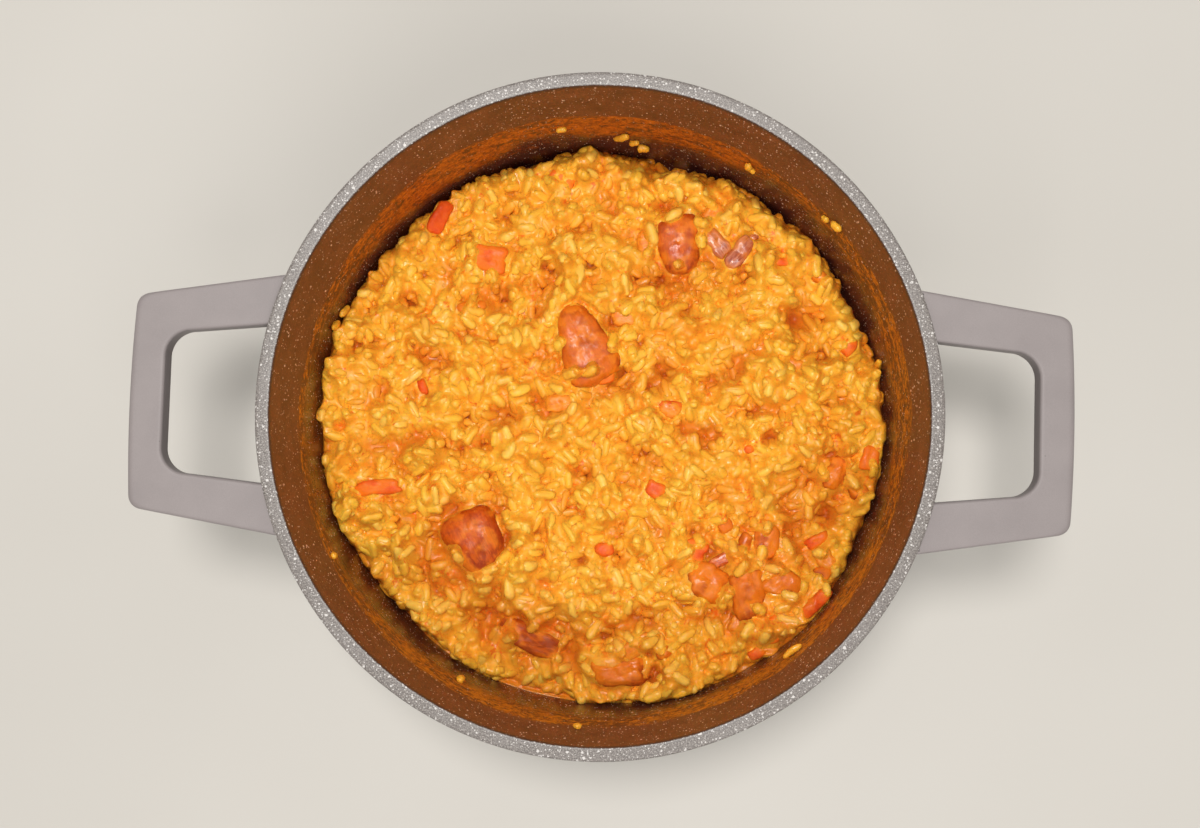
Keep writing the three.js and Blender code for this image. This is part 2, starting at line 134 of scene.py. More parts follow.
def vnoise(x, y, z=0.0, seed=0):
    """smooth lattice noise, -1 to 1"""
    x, y, z = np.broadcast_arrays(np.asarray(x, float), np.asarray(y, float), np.asarray(z, float))
    fx, fy, fz = np.floor(x), np.floor(y), np.floor(z)
    ix, iy, iz = fx.astype(np.int64), fy.astype(np.int64), fz.astype(np.int64)
    tx, ty, tz = x - fx, y - fy, z - fz
    tx = tx * tx * tx * (tx * (tx * 6 - 15) + 10)
    ty = ty * ty * ty * (ty * (ty * 6 - 15) + 10)
    tz = tz * tz * tz * (tz * (tz * 6 - 15) + 10)
    out = 0.0
    for a in (0, 1):
        wx = tx if a else 1 - tx
        for b in (0, 1):
            wy = ty if b else 1 - ty
            for c in (0, 1):
                wz = tz if c else 1 - tz
                out = out + wx * wy * wz * _hash(ix + a, iy + b, iz + c, seed)
    return out * 2 - 1


def fbm(x, y, z=0.0, seed=0, octaves=3, gain=0.5):
    out, amp, tot = 0.0, 1.0, 0.0
    for k in range(octaves):
        s = 2.03 ** k
        out = out + amp * vnoise(np.asarray(x) * s, np.asarray(y) * s, np.asarray(z) * s, seed + 17 * k)
        tot += amp
        amp *= gain
    return out / tot


def wobble(x, y, z, seed):
    return (np.sin(x * 1.7 + seed * 1.31 + 1.1 * np.sin(y * 1.3 + seed))
            + np.sin(y * 1.9 + seed * 2.17 + 1.3 * np.sin(z * 1.1 + seed * 0.7))
            + np.sin(z * 2.1 + seed * 0.73 + 0.9 * np.sin(x * 1.6 + seed * 1.9))) / 3


def smooth(t):
    t = np.clip(t, 0, 1)
    return t * t * (3 - 2 * t)


# ------------------------------------------------------------------ meshes


def mesh_object(name, verts_mm, faces, smooth_shade=True, sharp_deg=None, attrs=None, uv=None, mats=(), face_mats=None):
    """faces: an int array of quads or triangles (n,4)/(n,3), or a list of such arrays"""
    verts = np.asarray(verts_mm, np.float64) * MM
    groups = faces if isinstance(faces, (list, tuple)) else [faces]
    groups = [np.asarray(g, np.int64) for g in groups if len(g)]
    me = bpy.data.meshes.new(name)
    me.vertices.add(len(verts))
    me.vertices.foreach_set("co", verts.astype(np.float32).ravel())
    loops = np.concatenate([g.ravel() for g in groups])
    sizes = np.concatenate([np.full(len(g), g.shape[1]) for g in groups])
    starts = np.concatenate([[0], np.cumsum(sizes)[:-1]])
    me.loops.add(len(loops))
    me.loops.foreach_set("vertex_index", loops.astype(np.int32))
    me.polygons.add(len(sizes))
    me.polygons.foreach_set("loop_start", starts.astype(np.int32))
    me.polygons.foreach_set("use_smooth", np.full(len(sizes), bool(smooth_shade)))
    if face_mats is not None:
        me.polygons.foreach_set("material_index", np.asarray(face_mats, np.int32))
    me.update(calc_edges=True)
    me.validate(verbose=False)
    for key, values in (attrs or {}).items():
        a = me.attributes.new(key, "FLOAT", "POINT")
        a.data.foreach_set("value", np.asarray(values, np.float32).ravel())
    if uv is not None:
        layer = me.uv_layers.new(name="OFBake")
        uvs = np.asarray(uv, np.float32)
        if len(uvs) == len(verts):
            uvs = uvs[loops]
        layer.data.foreach_set("uv", uvs.ravel())
    if sharp_deg is not None:
        me.set_sharp_from_angle(angle=math.radians(sharp_deg))
    for m in mats:
        me.materials.append(m)
    ob = bpy.data.objects.new(name, me)
    scene.collection.objects.link(ob)
    return ob


# ------------------------------------------------------------------ materials


class Nodes:
    """short forms for building a node tree"""

    def __init__(self, name):
        self.mat = bpy.data.materials.new(name)
        self.mat.use_nodes = True
        self.nt = self.mat.node_tree
        self.bsdf = next(n for n in self.nt.nodes if n.type == "BSDF_PRINCIPLED")
        self.coord = self.nt.nodes.new("ShaderNodeTexCoord")
        self.mm = self.vec("MULTIPLY", self.coord.outputs["Object"], (1000.0, 1000.0, 1000.0))

    def put(self, value, socket):
        if isinstance(value, bpy.types.NodeSocket):
            self.nt.links.new(value, socket)
        else:
            socket.default_value = value

    def node(self, kind, **props):
        n = self.nt.nodes.new(kind)
        for k, v in props.items():
            setattr(n, k, v)
        return n

    def math(self, op, a, b=0.0, c=0.0, clamp=False):
        n = self.node("ShaderNodeMath", operation=op, use_clamp=clamp)
        for i, v in enumerate((a, b, c)):
            self.put(v, n.inputs[i])
        return n.outputs[0]

    def vec(self, op, a, b=(0, 0, 0)):
        n = self.node("ShaderNodeVectorMath", operation=op)
        self.put(a, n.inputs[0])
        self.put(b, n.inputs[1])
        return n.outputs[1] if op in ("LENGTH", "DISTANCE", "DOT_PRODUCT") else n.outputs[0]

    def xyz(self, v):
        n = self.node("ShaderNodeSeparateXYZ")
        self.put(v, n.inputs[0])
        return n.outputs

    def combine(self, x, y, z):
        n = self.node("ShaderNodeCombineXYZ")
        for i, v in enumerate((x, y, z)):
            self.put(v, n.inputs[i])
        return n.outputs[0]

    def noise(self, size_mm, detail=3.0, rough=0.5, at=None, distortion=0.0, w=None):
        n = self.node("ShaderNodeTexNoise")
        if w is not None:
            n.noise_dimensions = "4D"
            n.inputs["W"].default_value = w
        self.put(at if at is not None else self.mm, n.inputs["Vector"])
        n.inputs["Scale"].default_value = 1.0 / size_mm
        n.inputs["Detail"].default_value = detail
        n.inputs["Roughness"].default_value = rough
        n.inputs["Distortion"].default_value = distortion
        return n.outputs[0]

    def voronoi(self, size_mm, feature="F1", at=None, randomness=1.0, out="Distance"):
        n = self.node("ShaderNodeTexVoronoi", feature=feature)
        self.put(at if at is not None else self.mm, n.inputs["Vector"])
        n.inputs["Scale"].default_value = 1.0 / size_mm
        n.inputs["Randomness"].default_value = randomness
        return n.outputs[out]

    def attr(self, name):
        n = self.node("ShaderNodeAttribute", attribute_name=name)
        return n.outputs["Fac"]

    def own(self, sx, sy, sz, shift=0.0):
        """a piece's own place, stretched; x runs along the piece"""
        p = [self.math("MULTIPLY_ADD", self.attr(k), v, shift) for k, v in (("own_x", sx), ("own_y", sy), ("own_z", sz))]
        return self.combine(*p)

    def ramp(self, fac, stops, interp="LINEAR"):
        n = self.node("ShaderNodeValToRGB")
        n.color_ramp.interpolation = interp
        els = n.color_ramp.elements
        while len(els) < len(stops):
            els.new(0.5)
        for e, (p, col) in zip(els, stops):
            e.position = p
            e.color = (*col, 1.0) if len(col) == 3 else col
        self.put(fac, n.inputs[0])
        return n.outputs[0]

    def step(self, value, lo, hi, to0=0.0, to1=1.0):
        n = self.node("ShaderNodeMapRange", interpolation_type="SMOOTHSTEP")
        self.put(value, n.inputs["Value"])
        for k, v in (("From Min", lo), ("From Max", hi), ("To Min", to0), ("To Max", to1)):
            self.put(v, n.inputs[k])
        return n.outputs["Result"]

    def mix(self, fac, a, b, kind="RGBA", blend="MIX"):
        n = self.node("ShaderNodeMix", data_type=kind)
        if kind == "RGBA":
            n.blend_type = blend
            ia, ib, out = n.inputs[6], n.inputs[7], n.outputs[2]
        else:
            ia, ib, out = n.inputs[2], n.inputs[3], n.outputs[0]
        self.put(fac, n.inputs[0])
        for v, s in ((a, ia), (b, ib)):
            if not isinstance(v, bpy.types.NodeSocket) and kind == "RGBA" and len(v) == 3:
                v = (*v, 1.0)
            self.put(v, s)
        return out

    def bump(self, height, distance_mm, strength=1.0, normal=None):
        n = self.node("ShaderNodeBump")
        n.inputs["Strength"].default_value = strength
        n.inputs["Distance"].default_value = distance_mm * MM
        self.put(height, n.inputs["Height"])
        if normal is not None:
            self.put(normal, n.inputs["Normal"])
        return n.outputs[0]

    def finish(self, color, rough, normal=None, specular=0.5, coat=0.0, coat_rough=0.1, sss=0.0,
               sss_radius=(1.0, 0.35, 0.1), sss_scale=0.001, metallic=0.0, ior=1.45, sheen=0.0):
        b = self.bsdf.inputs
        if not isinstance(color, bpy.types.NodeSocket) and len(color) == 3:
            color = (*color, 1.0)
        self.put(color, b["Base Color"])
        self.put(rough, b["Roughness"])
        if normal is not None:
            self.put(normal, b["Normal"])
        b["Specular IOR Level"].default_value = specular
        b["Coat Weight"].default_value = coat
        b["Coat Roughness"].default_value = coat_rough
        b["Subsurface Weight"].default_value = sss
        self.bsdf.subsurface_method = "BURLEY"
        b["Subsurface Radius"].default_value = sss_radius
        b["Subsurface Scale"].default_value = sss_scale
        b["Metallic"].default_value = metallic
        b["IOR"].default_value = ior
        b["Sheen Weight"].default_value = sheen
        return self.mat


def material_pan():
    """grey stone-effect coating outside and on the rim; inside it is browned by
    the sauce, with a level orange tide mark, a dark foot (partly wet coating, partly painted shade) and pale speckles"""
    m = Nodes("pan_coating")
    pos = m.xyz(m.mm)
    z = pos[2]
    inner = m.attr("inner")
    # --- grey outside and rim
    grain = m.noise(0.55, 4.0, 0.65)
    blot = m.noise(9.0, 3.0, 0.5)
    grey = m.ramp(grain, [(0.30, (0.064, 0.054, 0.048)), (0.50, (0.160, 0.139, 0.126)), (0.70, (0.375, 0.338, 0.312))])
    grey = m.mix(m.step(blot, 0.35, 0.7, 0.0, 0.22), grey, (0.245, 0.225, 0.212))
    dots = []
    for size, radius, share, seed in ((2.0, 0.24, 0.45, 3.1), (1.2, 0.28, 0.50, 7.7), (0.75, 0.30, 0.50, 11.3)):
        at = m.vec("ADD", m.mm, (seed * 13.0, seed * 7.0, seed * 3.0))
        at = m.vec("ADD", at, m.vec("MULTIPLY", m.node_color_noise(0.6, at), (0.7, 0.7, 0.7)))
        d = m.voronoi(size, at=at)
        cell = m.xyz(m.voronoi(size, at=at, out="Color"))
        edge = m.math("MULTIPLY", cell[1], radius)
        dot = m.math("MULTIPLY", m.step(m.math("SUBTRACT", m.math("ADD", edge, radius * 0.35), d), 0.0, 0.09),
                     m.math("LESS_THAN", cell[0], share))
        dots.append(dot)
    speck = m.math("MAXIMUM", m.math("MAXIMUM", dots[0], dots[1]), dots[2])
    outside = m.mix(m.math("MULTIPLY", speck, 0.8), grey, (0.64, 0.61, 0.58))
    # --- inside: round the pan, 0 to 1 from -180 to 180 degrees
    ang = m.math("ARCTAN2", pos[1], pos[0])
    turn = m.math("ADD", m.math("DIVIDE", ang, 2 * math.pi), 0.5)

    def ring(pairs):
        stops = [((d + 180) / 360, (v, v, v)) for d, v in pairs]
        return m.xyz(m.ramp(turn, stops))[0]

    def level(pairs):
        """a height round the pan, given as degrees: mm"""
        stops = [((d + 180) / 360, ((v - 40) / 60,) * 3) for d, v in pairs]
        return m.math("MULTIPLY_ADD", m.xyz(m.ramp(turn, stops))[0], 60.0, 40.0)

    arc = m.math("MULTIPLY", ang, 119.0)
    long_streak = m.noise(1.0, 3.0, 0.58, at=m.combine(m.math("MULTIPLY", arc, 0.045), m.math("MULTIPLY", z, 0.24), 3.0))
    fine_streak = m.noise(1.0, 3.0, 0.60, at=m.combine(m.math("MULTIPLY", arc, 0.20), m.math("MULTIPLY", z, 0.80), 9.0))
    splotch = m.noise(5.0, 4.0, 0.66, at=m.combine(m.math("MULTIPLY", arc, 0.8), z, 21.0), distortion=0.8)
    mealy = m.noise(1.7, 3.0, 0.66, at=m.combine(arc, m.math("MULTIPLY", z, 0.8), 33.0))
    fine = m.noise(0.9, 3.0, 0.6)
    patch = m.noise(11.0, 4.0, 0.6)
    # edges of the tide mark
    top_z = level([(-180, 77), (-158, 77.5), (-142, 79), (-132, 83.5), (-108, 84), (-86, 82), (-76, 82.5), (-48, 83.2),
                   (-24, 82), (-8, 83), (2, 87), (22, 86), (34, 83), (46, 78.5), (58, 76), (70, 77), (84, 79), (104, 80.5),
                   (126, 80), (142, 77.5), (154, 75), (168, 74.5), (180, 77)])
    low_z = level([(-180, 68), (-146, 67), (-134, 61), (-96, 61), (-86, 67), (-78, 60), (-30, 59), (-18, 64), (-8, 58),
                   (18, 58), (30, 62), (44, 64), (58, 62), (64, 53), (94, 52), (100, 60), (108, 60), (114, 48), (132, 48),
                   (146, 54), (158, 60), (180, 68)])
    ragged = m.math("ADD", m.math("MULTIPLY", m.math("SUBTRACT", long_streak, 0.5), 16.0),
                    m.math("ADD", m.math("MULTIPLY", m.math("SUBTRACT", fine_streak, 0.5), 8.0),
                           m.math("MULTIPLY", m.math("SUBTRACT", splotch, 0.5), 14.0)))
    below_top = m.step(m.math("SUBTRACT", m.math("ADD", top_z, m.math("MULTIPLY", ragged, 0.34)), z), -0.8, 2.4)
    above_low = m.step(m.math("SUBTRACT", z, m.math("ADD", low_z, ragged)), -5.0, 5.0)
    strength = ring([(-180, 0.50), (-150, 0.50), (-140, 0.55), (-132, 0.90), (-98, 0.80), (-89, 0.22), (-81, 0.25), (-76, 0.90),
                     (-30, 0.85), (-20, 0.42), (-10, 0.70), (4, 0.55), (20, 0.50), (38, 0.50), (54, 0.50), (62, 0.95),
                     (94, 1.0), (103, 0.80), (112, 1.0), (138, 0.95), (148, 0.62), (160, 0.40), (170, 0.35), (180, 0.50)])
    mark = m.math("MULTIPLY_ADD", m.math("SUBTRACT", strength, 0.5), 1.7, 0.36)
    for part, amount in ((long_streak, 4.2), (fine_streak, 2.4), (splotch, 4.6), (mealy, 4.2)):
        mark = m.math("ADD", mark, m.math("MULTIPLY", m.math("SUBTRACT", part, 0.5), amount))
    mark = m.math("MAXIMUM", m.math("MINIMUM", mark, 1.0), 0.0)
    smear = m.math("MULTIPLY", m.math("MULTIPLY", m.step(splotch, 0.50, 0.62), m.step(fine_streak, 0.40, 0.60)), strength)
    smear = m.math("MULTIPLY", smear, m.step(z, 40.0, 50.0, 0.0, 0.50))
    mark = m.math("MULTIPLY", m.math("MULTIPLY", mark, below_top), m.math("MAXIMUM", above_low, smear))
    mottle = m.math("ADD", m.math("MULTIPLY", fine, 0.50), m.math("MULTIPLY", patch, 0.50))
    upper = m.ramp(mottle, [(0.34, (0.105, 0.031, 0.012)), (0.50, (0.165, 0.050, 0.018)), (0.66, (0.250, 0.082, 0.032))])
    middle = m.ramp(m.math("ADD", m.math("MULTIPLY", mealy, 0.6), m.math("MULTIPLY", patch, 0.4)),
                    [(0.36, (0.095, 0.026, 0.005)), (0.62, (0.220, 0.064, 0.006))])
    foot = m.ramp(mottle, [(0.32, (0.044, 0.012, 0.011)), (0.52, (0.105, 0.030, 0.022)), (0.68, (0.190, 0.058, 0.026))])
    tint = m.math("ADD", m.math("MULTIPLY", mealy, 0.55), m.math("MULTIPLY", splotch, 0.45))
    stain = m.ramp(tint, [(0.36, (0.150, 0.030, 0.002)), (0.49, (0.420, 0.090, 0.003)), (0.60, (0.640, 0.165, 0.004))])
    gold = m.ramp(tint, [(0.36, (0.150, 0.040, 0.003)), (0.49, (0.430, 0.128, 0.003)), (0.60, (0.660, 0.235, 0.006))])
    stain = m.mix(ring([(-180, 0.9), (-10, 0.9), (20, 0.7), (44, 0.5), (62, 0.0), (140, 0.0), (165, 0.6), (180, 0.9)]), stain, gold)
    # painted shade in part: how dark the foot is round the pan, deepest from 20 to 120 degrees on the back wall; the
    # rest is the wet coating's own colour
    dark = ring([(-180, 0.45), (-150, 0.55), (-130, 0.75), (-90, 0.85), (-60, 0.75), (-40, 0.70), (-10, 0.85),
                 (20, 1.0), (60, 1.0), (120, 1.0), (150, 0.85), (162, 0.50), (180, 0.45)])
    wall = m.mix(below_top, upper, middle)
    wall = m.mix(m.math("MULTIPLY", m.math("SUBTRACT", 1.0, above_low), dark), wall, foot)
    wall = m.mix(mark, wall, stain)
    dots2 = []
    for size, radius, share, seed in ((2.1, 0.15, 0.60, 5.3), (1.3, 0.19, 0.60, 9.1), (0.85, 0.22, 0.50, 14.9)):
        at = m.vec("ADD", m.vec("MULTIPLY", m.mm, (1.0, 1.0, 0.5)), (seed * 5.0, seed * 11.0, seed * 2.0))
        d = m.voronoi(size, at=at)
        cell = m.xyz(m.voronoi(size, at=at, out="Color"))
        edge = m.math("MULTIPLY", cell[1], radius * 1.3)
        dots2.append(m.math("MULTIPLY", m.step(m.math("SUBTRACT", m.math("ADD", edge, radius * 0.4), d), 0.0, 0.06),
                            m.math("MULTIPLY", m.math("LESS_THAN", cell[0], share), m.math("MULTIPLY", m.math("POWER", cell[2], 2.0), 1.7, clamp=True))))
    speck2 = m.math("MAXIMUM", m.math("MAXIMUM", dots2[0], dots2[1]), dots2[2])
    speck2 = m.math("MULTIPLY", speck2, m.step(mark, 0.0, 0.8, 1.0, 0.20))
    wall = m.mix(speck2, wall, (0.78, 0.58, 0.42))
    # --- ragged, slightly dark edge between the two
    rag = m.math("ADD", inner, m.math("MULTIPLY", m.math("SUBTRACT", m.noise(0.9, 4.0, 0.7), 0.5), 1.0))
    line = m.math("MULTIPLY", m.step(rag, 0.36, 0.50), m.step(rag, 0.98, 0.72))
    under = m.step(m.math("ADD", z, m.math("MULTIPLY", m.math("SUBTRACT", m.noise(1.3, 3.0, 0.65), 0.5), 3.2)), 112.3, 113.5)
    line = m.math("MAXIMUM", line, m.math("MULTIPLY", under, 0.9))
    wall = m.mix(m.math("MULTIPLY", line, 0.80), wall, (0.035, 0.020, 0.016))
    isin = m.step(rag, 0.40, 0.52)
    color = m.mix(isin, outside, wall)
    rough_out = m.math("ADD", 0.28, m.math("MULTIPLY", grain, 0.20))
    rough_in = m.math("SUBTRACT", 0.50, m.math("MULTIPLY", m.math("SUBTRACT", 1.0, above_low), 0.24))
    rough = m.mix(isin, rough_out, rough_in, kind="FLOAT")
    h = m.math("ADD", m.math("MULTIPLY", m.noise(0.5, 3.0, 0.6), 0.6), m.math("MULTIPLY", speck, 0.35))
    return m.finish(color, rough, m.bump(h, 0.10, 0.35), specular=0.54)


def _color_noise(self, size_mm, at):
    n = self.node("ShaderNodeTexNoise")
    self.put(at, n.inputs["Vector"])
    n.inputs["Scale"].default_value = 1.0 / size_mm
    n.inputs["Detail"].default_value = 2.0
    return self.vec("SUBTRACT", n.outputs["Color"], (0.5, 0.5, 0.5))


Nodes.node_color_noise = _color_noise


def material_handle():
    m = Nodes("handle_coating")
    fine = m.noise(0.35, 3.0, 0.6)
    soft = m.noise(16.0, 3.0, 0.5)
    c = m.ramp(m.math("ADD", m.math("MULTIPLY", fine, 0.55), m.math("MULTIPLY", soft, 0.45)),
               [(0.30, (0.212, 0.184, 0.181)), (0.70, (0.262, 0.229, 0.224))])
    # a few tiny nicks and dust specks
    d = m.voronoi(7.0)
    cell = m.xyz(m.voronoi(7.0, out="Color"))
    nick = m.math("MULTIPLY", m.step(m.math("SUBTRACT", 0.045, d), 0.0, 0.02), m.math("LESS_THAN", cell[0], 0.35))
    c = m.mix(m.math("MULTIPLY", nick, 0.5), c, (0.10, 0.09, 0.09))
    rough = m.math("ADD", 0.42, m.math("MULTIPLY", fine, 0.16))
    return m.finish(c, rough, m.bump(fine, 0.05, 0.25), specular=0.4)


def material_grain(name, shift):
    """plump cooked grain, soft yellow-orange, stained deeper where sauce wets it"""
    m = Nodes(name)
    tone = m.attr("tone")
    wet = m.attr("wet")
    fine = m.noise(1.3, 3.0, 0.55)
    body = m.ramp(m.math("ADD", tone, m.math("MULTIPLY", m.math("SUBTRACT", fine, 0.5), 0.25)),
                  [(0.0, (0.77, 0.315, 0.022)), (0.45, (0.84, 0.425, 0.032)), (0.85, (0.87, 0.490, 0.046)),
                   (1.0, (0.89, 0.540, 0.080))])
    stain = m.math("MULTIPLY", m.math("POWER", wet, 1.3), m.step(m.noise(2.4, 2.0, 0.5), 0.25, 0.75, 0.45, 1.0))
    body = m.mix(m.math("MULTIPLY", stain, 0.85), body, (0.78, 0.258, 0.015))
    body = m.mix(m.step(m.noise(15.0, 2.0, 0.5), 0.44, 0.66, 0.0, 0.35), body, (0.78, 0.290, 0.018))
    body = m.mix(m.math("MULTIPLY", m.attr("red"), 0.36), body, (0.78, 0.235, 0.020))
    # darker, redder where the heap dips: partly sauce, partly painted shade
    body = m.mix(m.math("MULTIPLY", m.attr("dip_sauce_and_shade"), 0.60), body, (0.64, 0.170, 0.009))
    gloss = m.noise(3.2, 3.0, 0.6)
    rough = m.step(gloss, 0.35, 0.65, 0.24, 0.48)
    h = m.noise(1.5, 3.0, 0.55)
    return m.finish(body, rough, m.bump(h, 0.34, 0.50), specular=0.42, sss=0.48, sss_radius=(1.0, 0.36, 0.06), sss_scale=0.0025)


def material_sauce():
    m = Nodes("sauce")
    big = m.noise(14.0, 3.0, 0.5)
    mid = m.noise(3.0, 3.0, 0.6)
    depth = m.attr("depth")
    cover = m.attr("cover")
    c = m.ramp(m.math("ADD", m.math("MULTIPLY", big, 0.5), m.math("MULTIPLY", mid, 0.5)),
               [(0.32, (0.75, 0.265, 0.019)), (0.50, (0.81, 0.350, 0.025)), (0.68, (0.85, 0.420, 0.036))])
    c = m.mix(m.step(cover, 0.10, 1.1, 0.65, 0.0), c, (0.85, 0.430, 0.036))
    c = m.mix(m.step(m.noise(15.0, 2.0, 0.5), 0.44, 0.66, 0.0, 0.35), c, (0.77, 0.260, 0.016))
    c = m.mix(m.math("MULTIPLY", m.attr("red"), 0.60), c, (0.76, 0.190, 0.016))
    # darker, redder where the heap dips: partly sauce, partly painted shade
    c = m.mix(m.math("MULTIPLY", m.attr("dip_sauce_and_shade"), 0.66), c, (0.58, 0.125, 0.007))
    # deep clefts darker red-brown: partly thicker sauce, partly painted shade
    c = m.mix(m.step(depth, 1.8, 4.6, 0.0, 0.80), c, (0.38, 0.062, 0.005))
    thread = m.math("ABSOLUTE", m.math("SUBTRACT", m.noise(5.5, 2.0, 0.55, distortion=0.9, w=3.0), 0.5))
    thread = m.math("MULTIPLY", m.step(thread, 0.030, 0.008), m.step(m.noise(6.5, 2.0, 0.5, w=8.0), 0.52, 0.62))
    c = m.mix(m.math("MULTIPLY", thread, 0.75), c, (0.70, 0.095, 0.008))
    rough = m.step(m.noise(4.0, 3.0, 0.6), 0.35, 0.65, 0.18, 0.44)
    h = m.noise(1.7, 3.0, 0.6)
    return m.finish(c, rough, m.bump(h, 0.35, 0.5), specular=0.45,
                    sss=0.48, sss_radius=(1.0, 0.34, 0.05), sss_scale=0.0025)


def material_chorizo():
    """stewed meat: red where it is cut, orange where the sauce has got to it,
    with fibres along it and a few pale lumps of fat"""
    m = Nodes("chorizo")
    coarse = m.noise(4.2, 3.0, 0.58, distortion=0.6)
    fibre = m.noise(1.0, 4.0, 0.60, at=m.own(0.16, 0.75, 0.75, 4.0), distortion=0.5)
    fine = m.noise(0.9, 3.0, 0.6)
    c = m.ramp(m.math("ADD", m.math("MULTIPLY", coarse, 0.45), m.math("ADD", m.math("MULTIPLY", fibre, 0.40), m.math("MULTIPLY", fine, 0.15))),
               [(0.34, (0.28, 0.024, 0.002)), (0.46, (0.44, 0.052, 0.003)), (0.57, (0.58, 0.092, 0.005)),
                (0.68, (0.72, 0.175, 0.014))])
    c = m.mix(m.step(m.attr("tone"), 0.1, 0.9, 0.0, 0.70), c, (0.76, 0.185, 0.009))
    # paler, pinkish towards one end
    pale = m.step(m.math("ADD", m.noise(9.0, 2.0, 0.5), m.math("MULTIPLY", fibre, 0.25)), 0.56, 0.74)
    c = m.mix(m.math("MULTIPLY", pale, 0.12), c, (0.76, 0.210, 0.050))
    # painted shade: the side of a chunk away from the light, and the sunken chunk, darkened by the dark attribute
    c = m.mix(m.math("MULTIPLY", m.attr("dark"), 0.75), c, m.mix(m.step(fibre, 0.4, 0.6), (0.22, 0.022, 0.002), (0.46, 0.070, 0.004)))
    fat = m.voronoi(2.6, at=m.vec("ADD", m.mm, m.vec("MULTIPLY", m.node_color_noise(1.6, m.mm), (2.4, 2.4, 2.4))))
    fatm = m.math("MULTIPLY", m.step(m.math("SUBTRACT", 0.26, fat), 0.0, 0.10), m.step(m.noise(6.0, 2.0, 0.5), 0.48, 0.62))
    c = m.mix(m.math("MULTIPLY", fatm, 0.4), c, (0.82, 0.31, 0.05))
    low = m.attr("wet")
    lowc = m.mix(m.step(m.noise(7.0, 2.0, 0.5), 0.38, 0.54), (0.30, 0.036, 0.003), (0.78, 0.215, 0.010))
    c = m.mix(m.math("MULTIPLY", low, 0.80), c, lowc)
    rough = m.step(m.noise(4.4, 3.0, 0.6), 0.38, 0.62, 0.20, 0.56)
    rough = m.math("ADD", rough, m.math("MULTIPLY", m.attr("dark"), 0.25))
    h = m.math("ADD", m.math("MULTIPLY", m.noise(2.4, 2.0, 0.55), 0.6), m.math("MULTIPLY", fibre, 0.5))
    return m.finish(c, rough, m.bump(h, 0.42, 0.40), specular=0.21,
                    sss=0.22, sss_radius=(1.0, 0.30, 0.08), sss_scale=0.0020)


def material_skin():
    m = Nodes("chorizo_skin")
    n = m.noise(1.4, 3.0, 0.6)
    c = m.ramp(n, [(0.32, (0.42, 0.050, 0.008)), (0.55, (0.60, 0.120, 0.020)), (0.75, (0.76, 0.260, 0.080))])
    return m.finish(c, 0.24, m.bump(m.noise(0.8, 3.0, 0.6), 0.3, 0.5), specular=0.5, coat=0.1, coat_rough=0.12,
                    sss=0.1, sss_scale=0.001)


def material_onion(name, stops, shine, coat):
    """thin translucent layers with pale lines along them"""
    m = Nodes(name)
    along = m.noise(1.0, 4.0, 0.60, at=m.own(0.16, 0.95, 0.95, 7.0), distortion=0.7)
    c = m.ramp(along, stops)
    c = m.mix(m.math("MULTIPLY", m.attr("wet"), 0.7), c, (0.76, 0.220, 0.015))
    rough = m.step(m.noise(2.2, 3.0, 0.6), 0.38, 0.62, 0.14, 0.48)
    h = m.math("ADD", m.math("MULTIPLY", along, 0.8), m.math("MULTIPLY", m.noise(0.9, 3.0, 0.65), 0.4))
    return m.finish(c, rough, m.bump(h, 0.40, 0.6), specular=shine, coat=coat, coat_rough=0.1,
                    sss=0.2, sss_radius=(1.0, 0.5, 0.25), sss_scale=0.0018)


def material_pepper():
    m = Nodes("pepper")
    n = m.noise(4.2, 3.0, 0.55)
    fine = m.noise(0.8, 3.0, 0.6)
    t = m.math("ADD", m.math("MULTIPLY", n, 0.6), m.math("ADD", m.math("MULTIPLY", fine, 0.2),
                                                       m.math("MULTIPLY", m.attr("tone"), 0.2)))
    c = m.ramp(t, [(0.25, (0.56, 0.042, 0.005)), (0.48, (0.69, 0.082, 0.008)), (0.72, (0.76, 0.140, 0.014))])
    c = m.mix(m.math("MULTIPLY", m.attr("wet"), 0.85), c, (0.80, 0.200, 0.009))
    rough = m.step(m.noise(2.6, 3.0, 0.6), 0.38, 0.64, 0.30, 0.60)
    return m.finish(c, rough, m.bump(m.noise(1.2, 3.0, 0.55), 0.30, 0.5), specular=0.18,
                    sss=0.25, sss_radius=(1.0, 0.30, 0.08), sss_scale=0.0018)


MAT_PAN = material_pan()
MAT_HANDLE = material_handle()
MAT_GRAIN = material_grain("rice_grain", 0.0)
MAT_SAUCE = material_sauce()
MAT_CHORIZO = material_chorizo()
MAT_SKIN = material_skin()
MAT_ONION = material_onion("onion", [(0.32, (0.26, 0.040, 0.012)), (0.50, (0.42, 0.095, 0.034)), (0.70, (0.68, 0.280, 0.150))], 0.42, 0.10)
MAT_SOFT = material_onion("soft_onion", [(0.30, (0.62, 0.140, 0.008)), (0.52, (0.76, 0.235, 0.014)), (0.72, (0.82, 0.330, 0.030))], 0.30, 0.0)
MAT_PEPPER = material_pepper()

# ------------------------------------------------------------------ pan


def wall_r(z):
    """inner radius of the pan at height z"""
    z = np.asarray(z, float)
    top = FLOOR_Z + CORNER_R_IN
    slope = (RIM_INNER_R - WALL_TAPER_TO_R) / (PAN_HEIGHT - WALL_TAPER_Z)
    wall = WALL_TAPER_TO_R + slope * (z - WALL_TAPER_Z)
    at_top = WALL_TAPER_TO_R + slope * (top - WALL_TAPER_Z)
    dz = top - np.maximum(z, FLOOR_Z)
    low = at_top - CORNER_R_IN + np.sqrt(np.maximum(CORNER_R_IN ** 2 - dz ** 2, 0))
    return np.where(z >= top, wall, low)


def arc_pts(cx, cz, r, a0, a1, steps):
    return [(cx + r * math.cos(math.radians(a0 + (a1 - a0) * i / steps)),
             cz + r * math.sin(math.radians(a0 + (a1 - a0) * i / steps))) for i in range(steps + 1)]


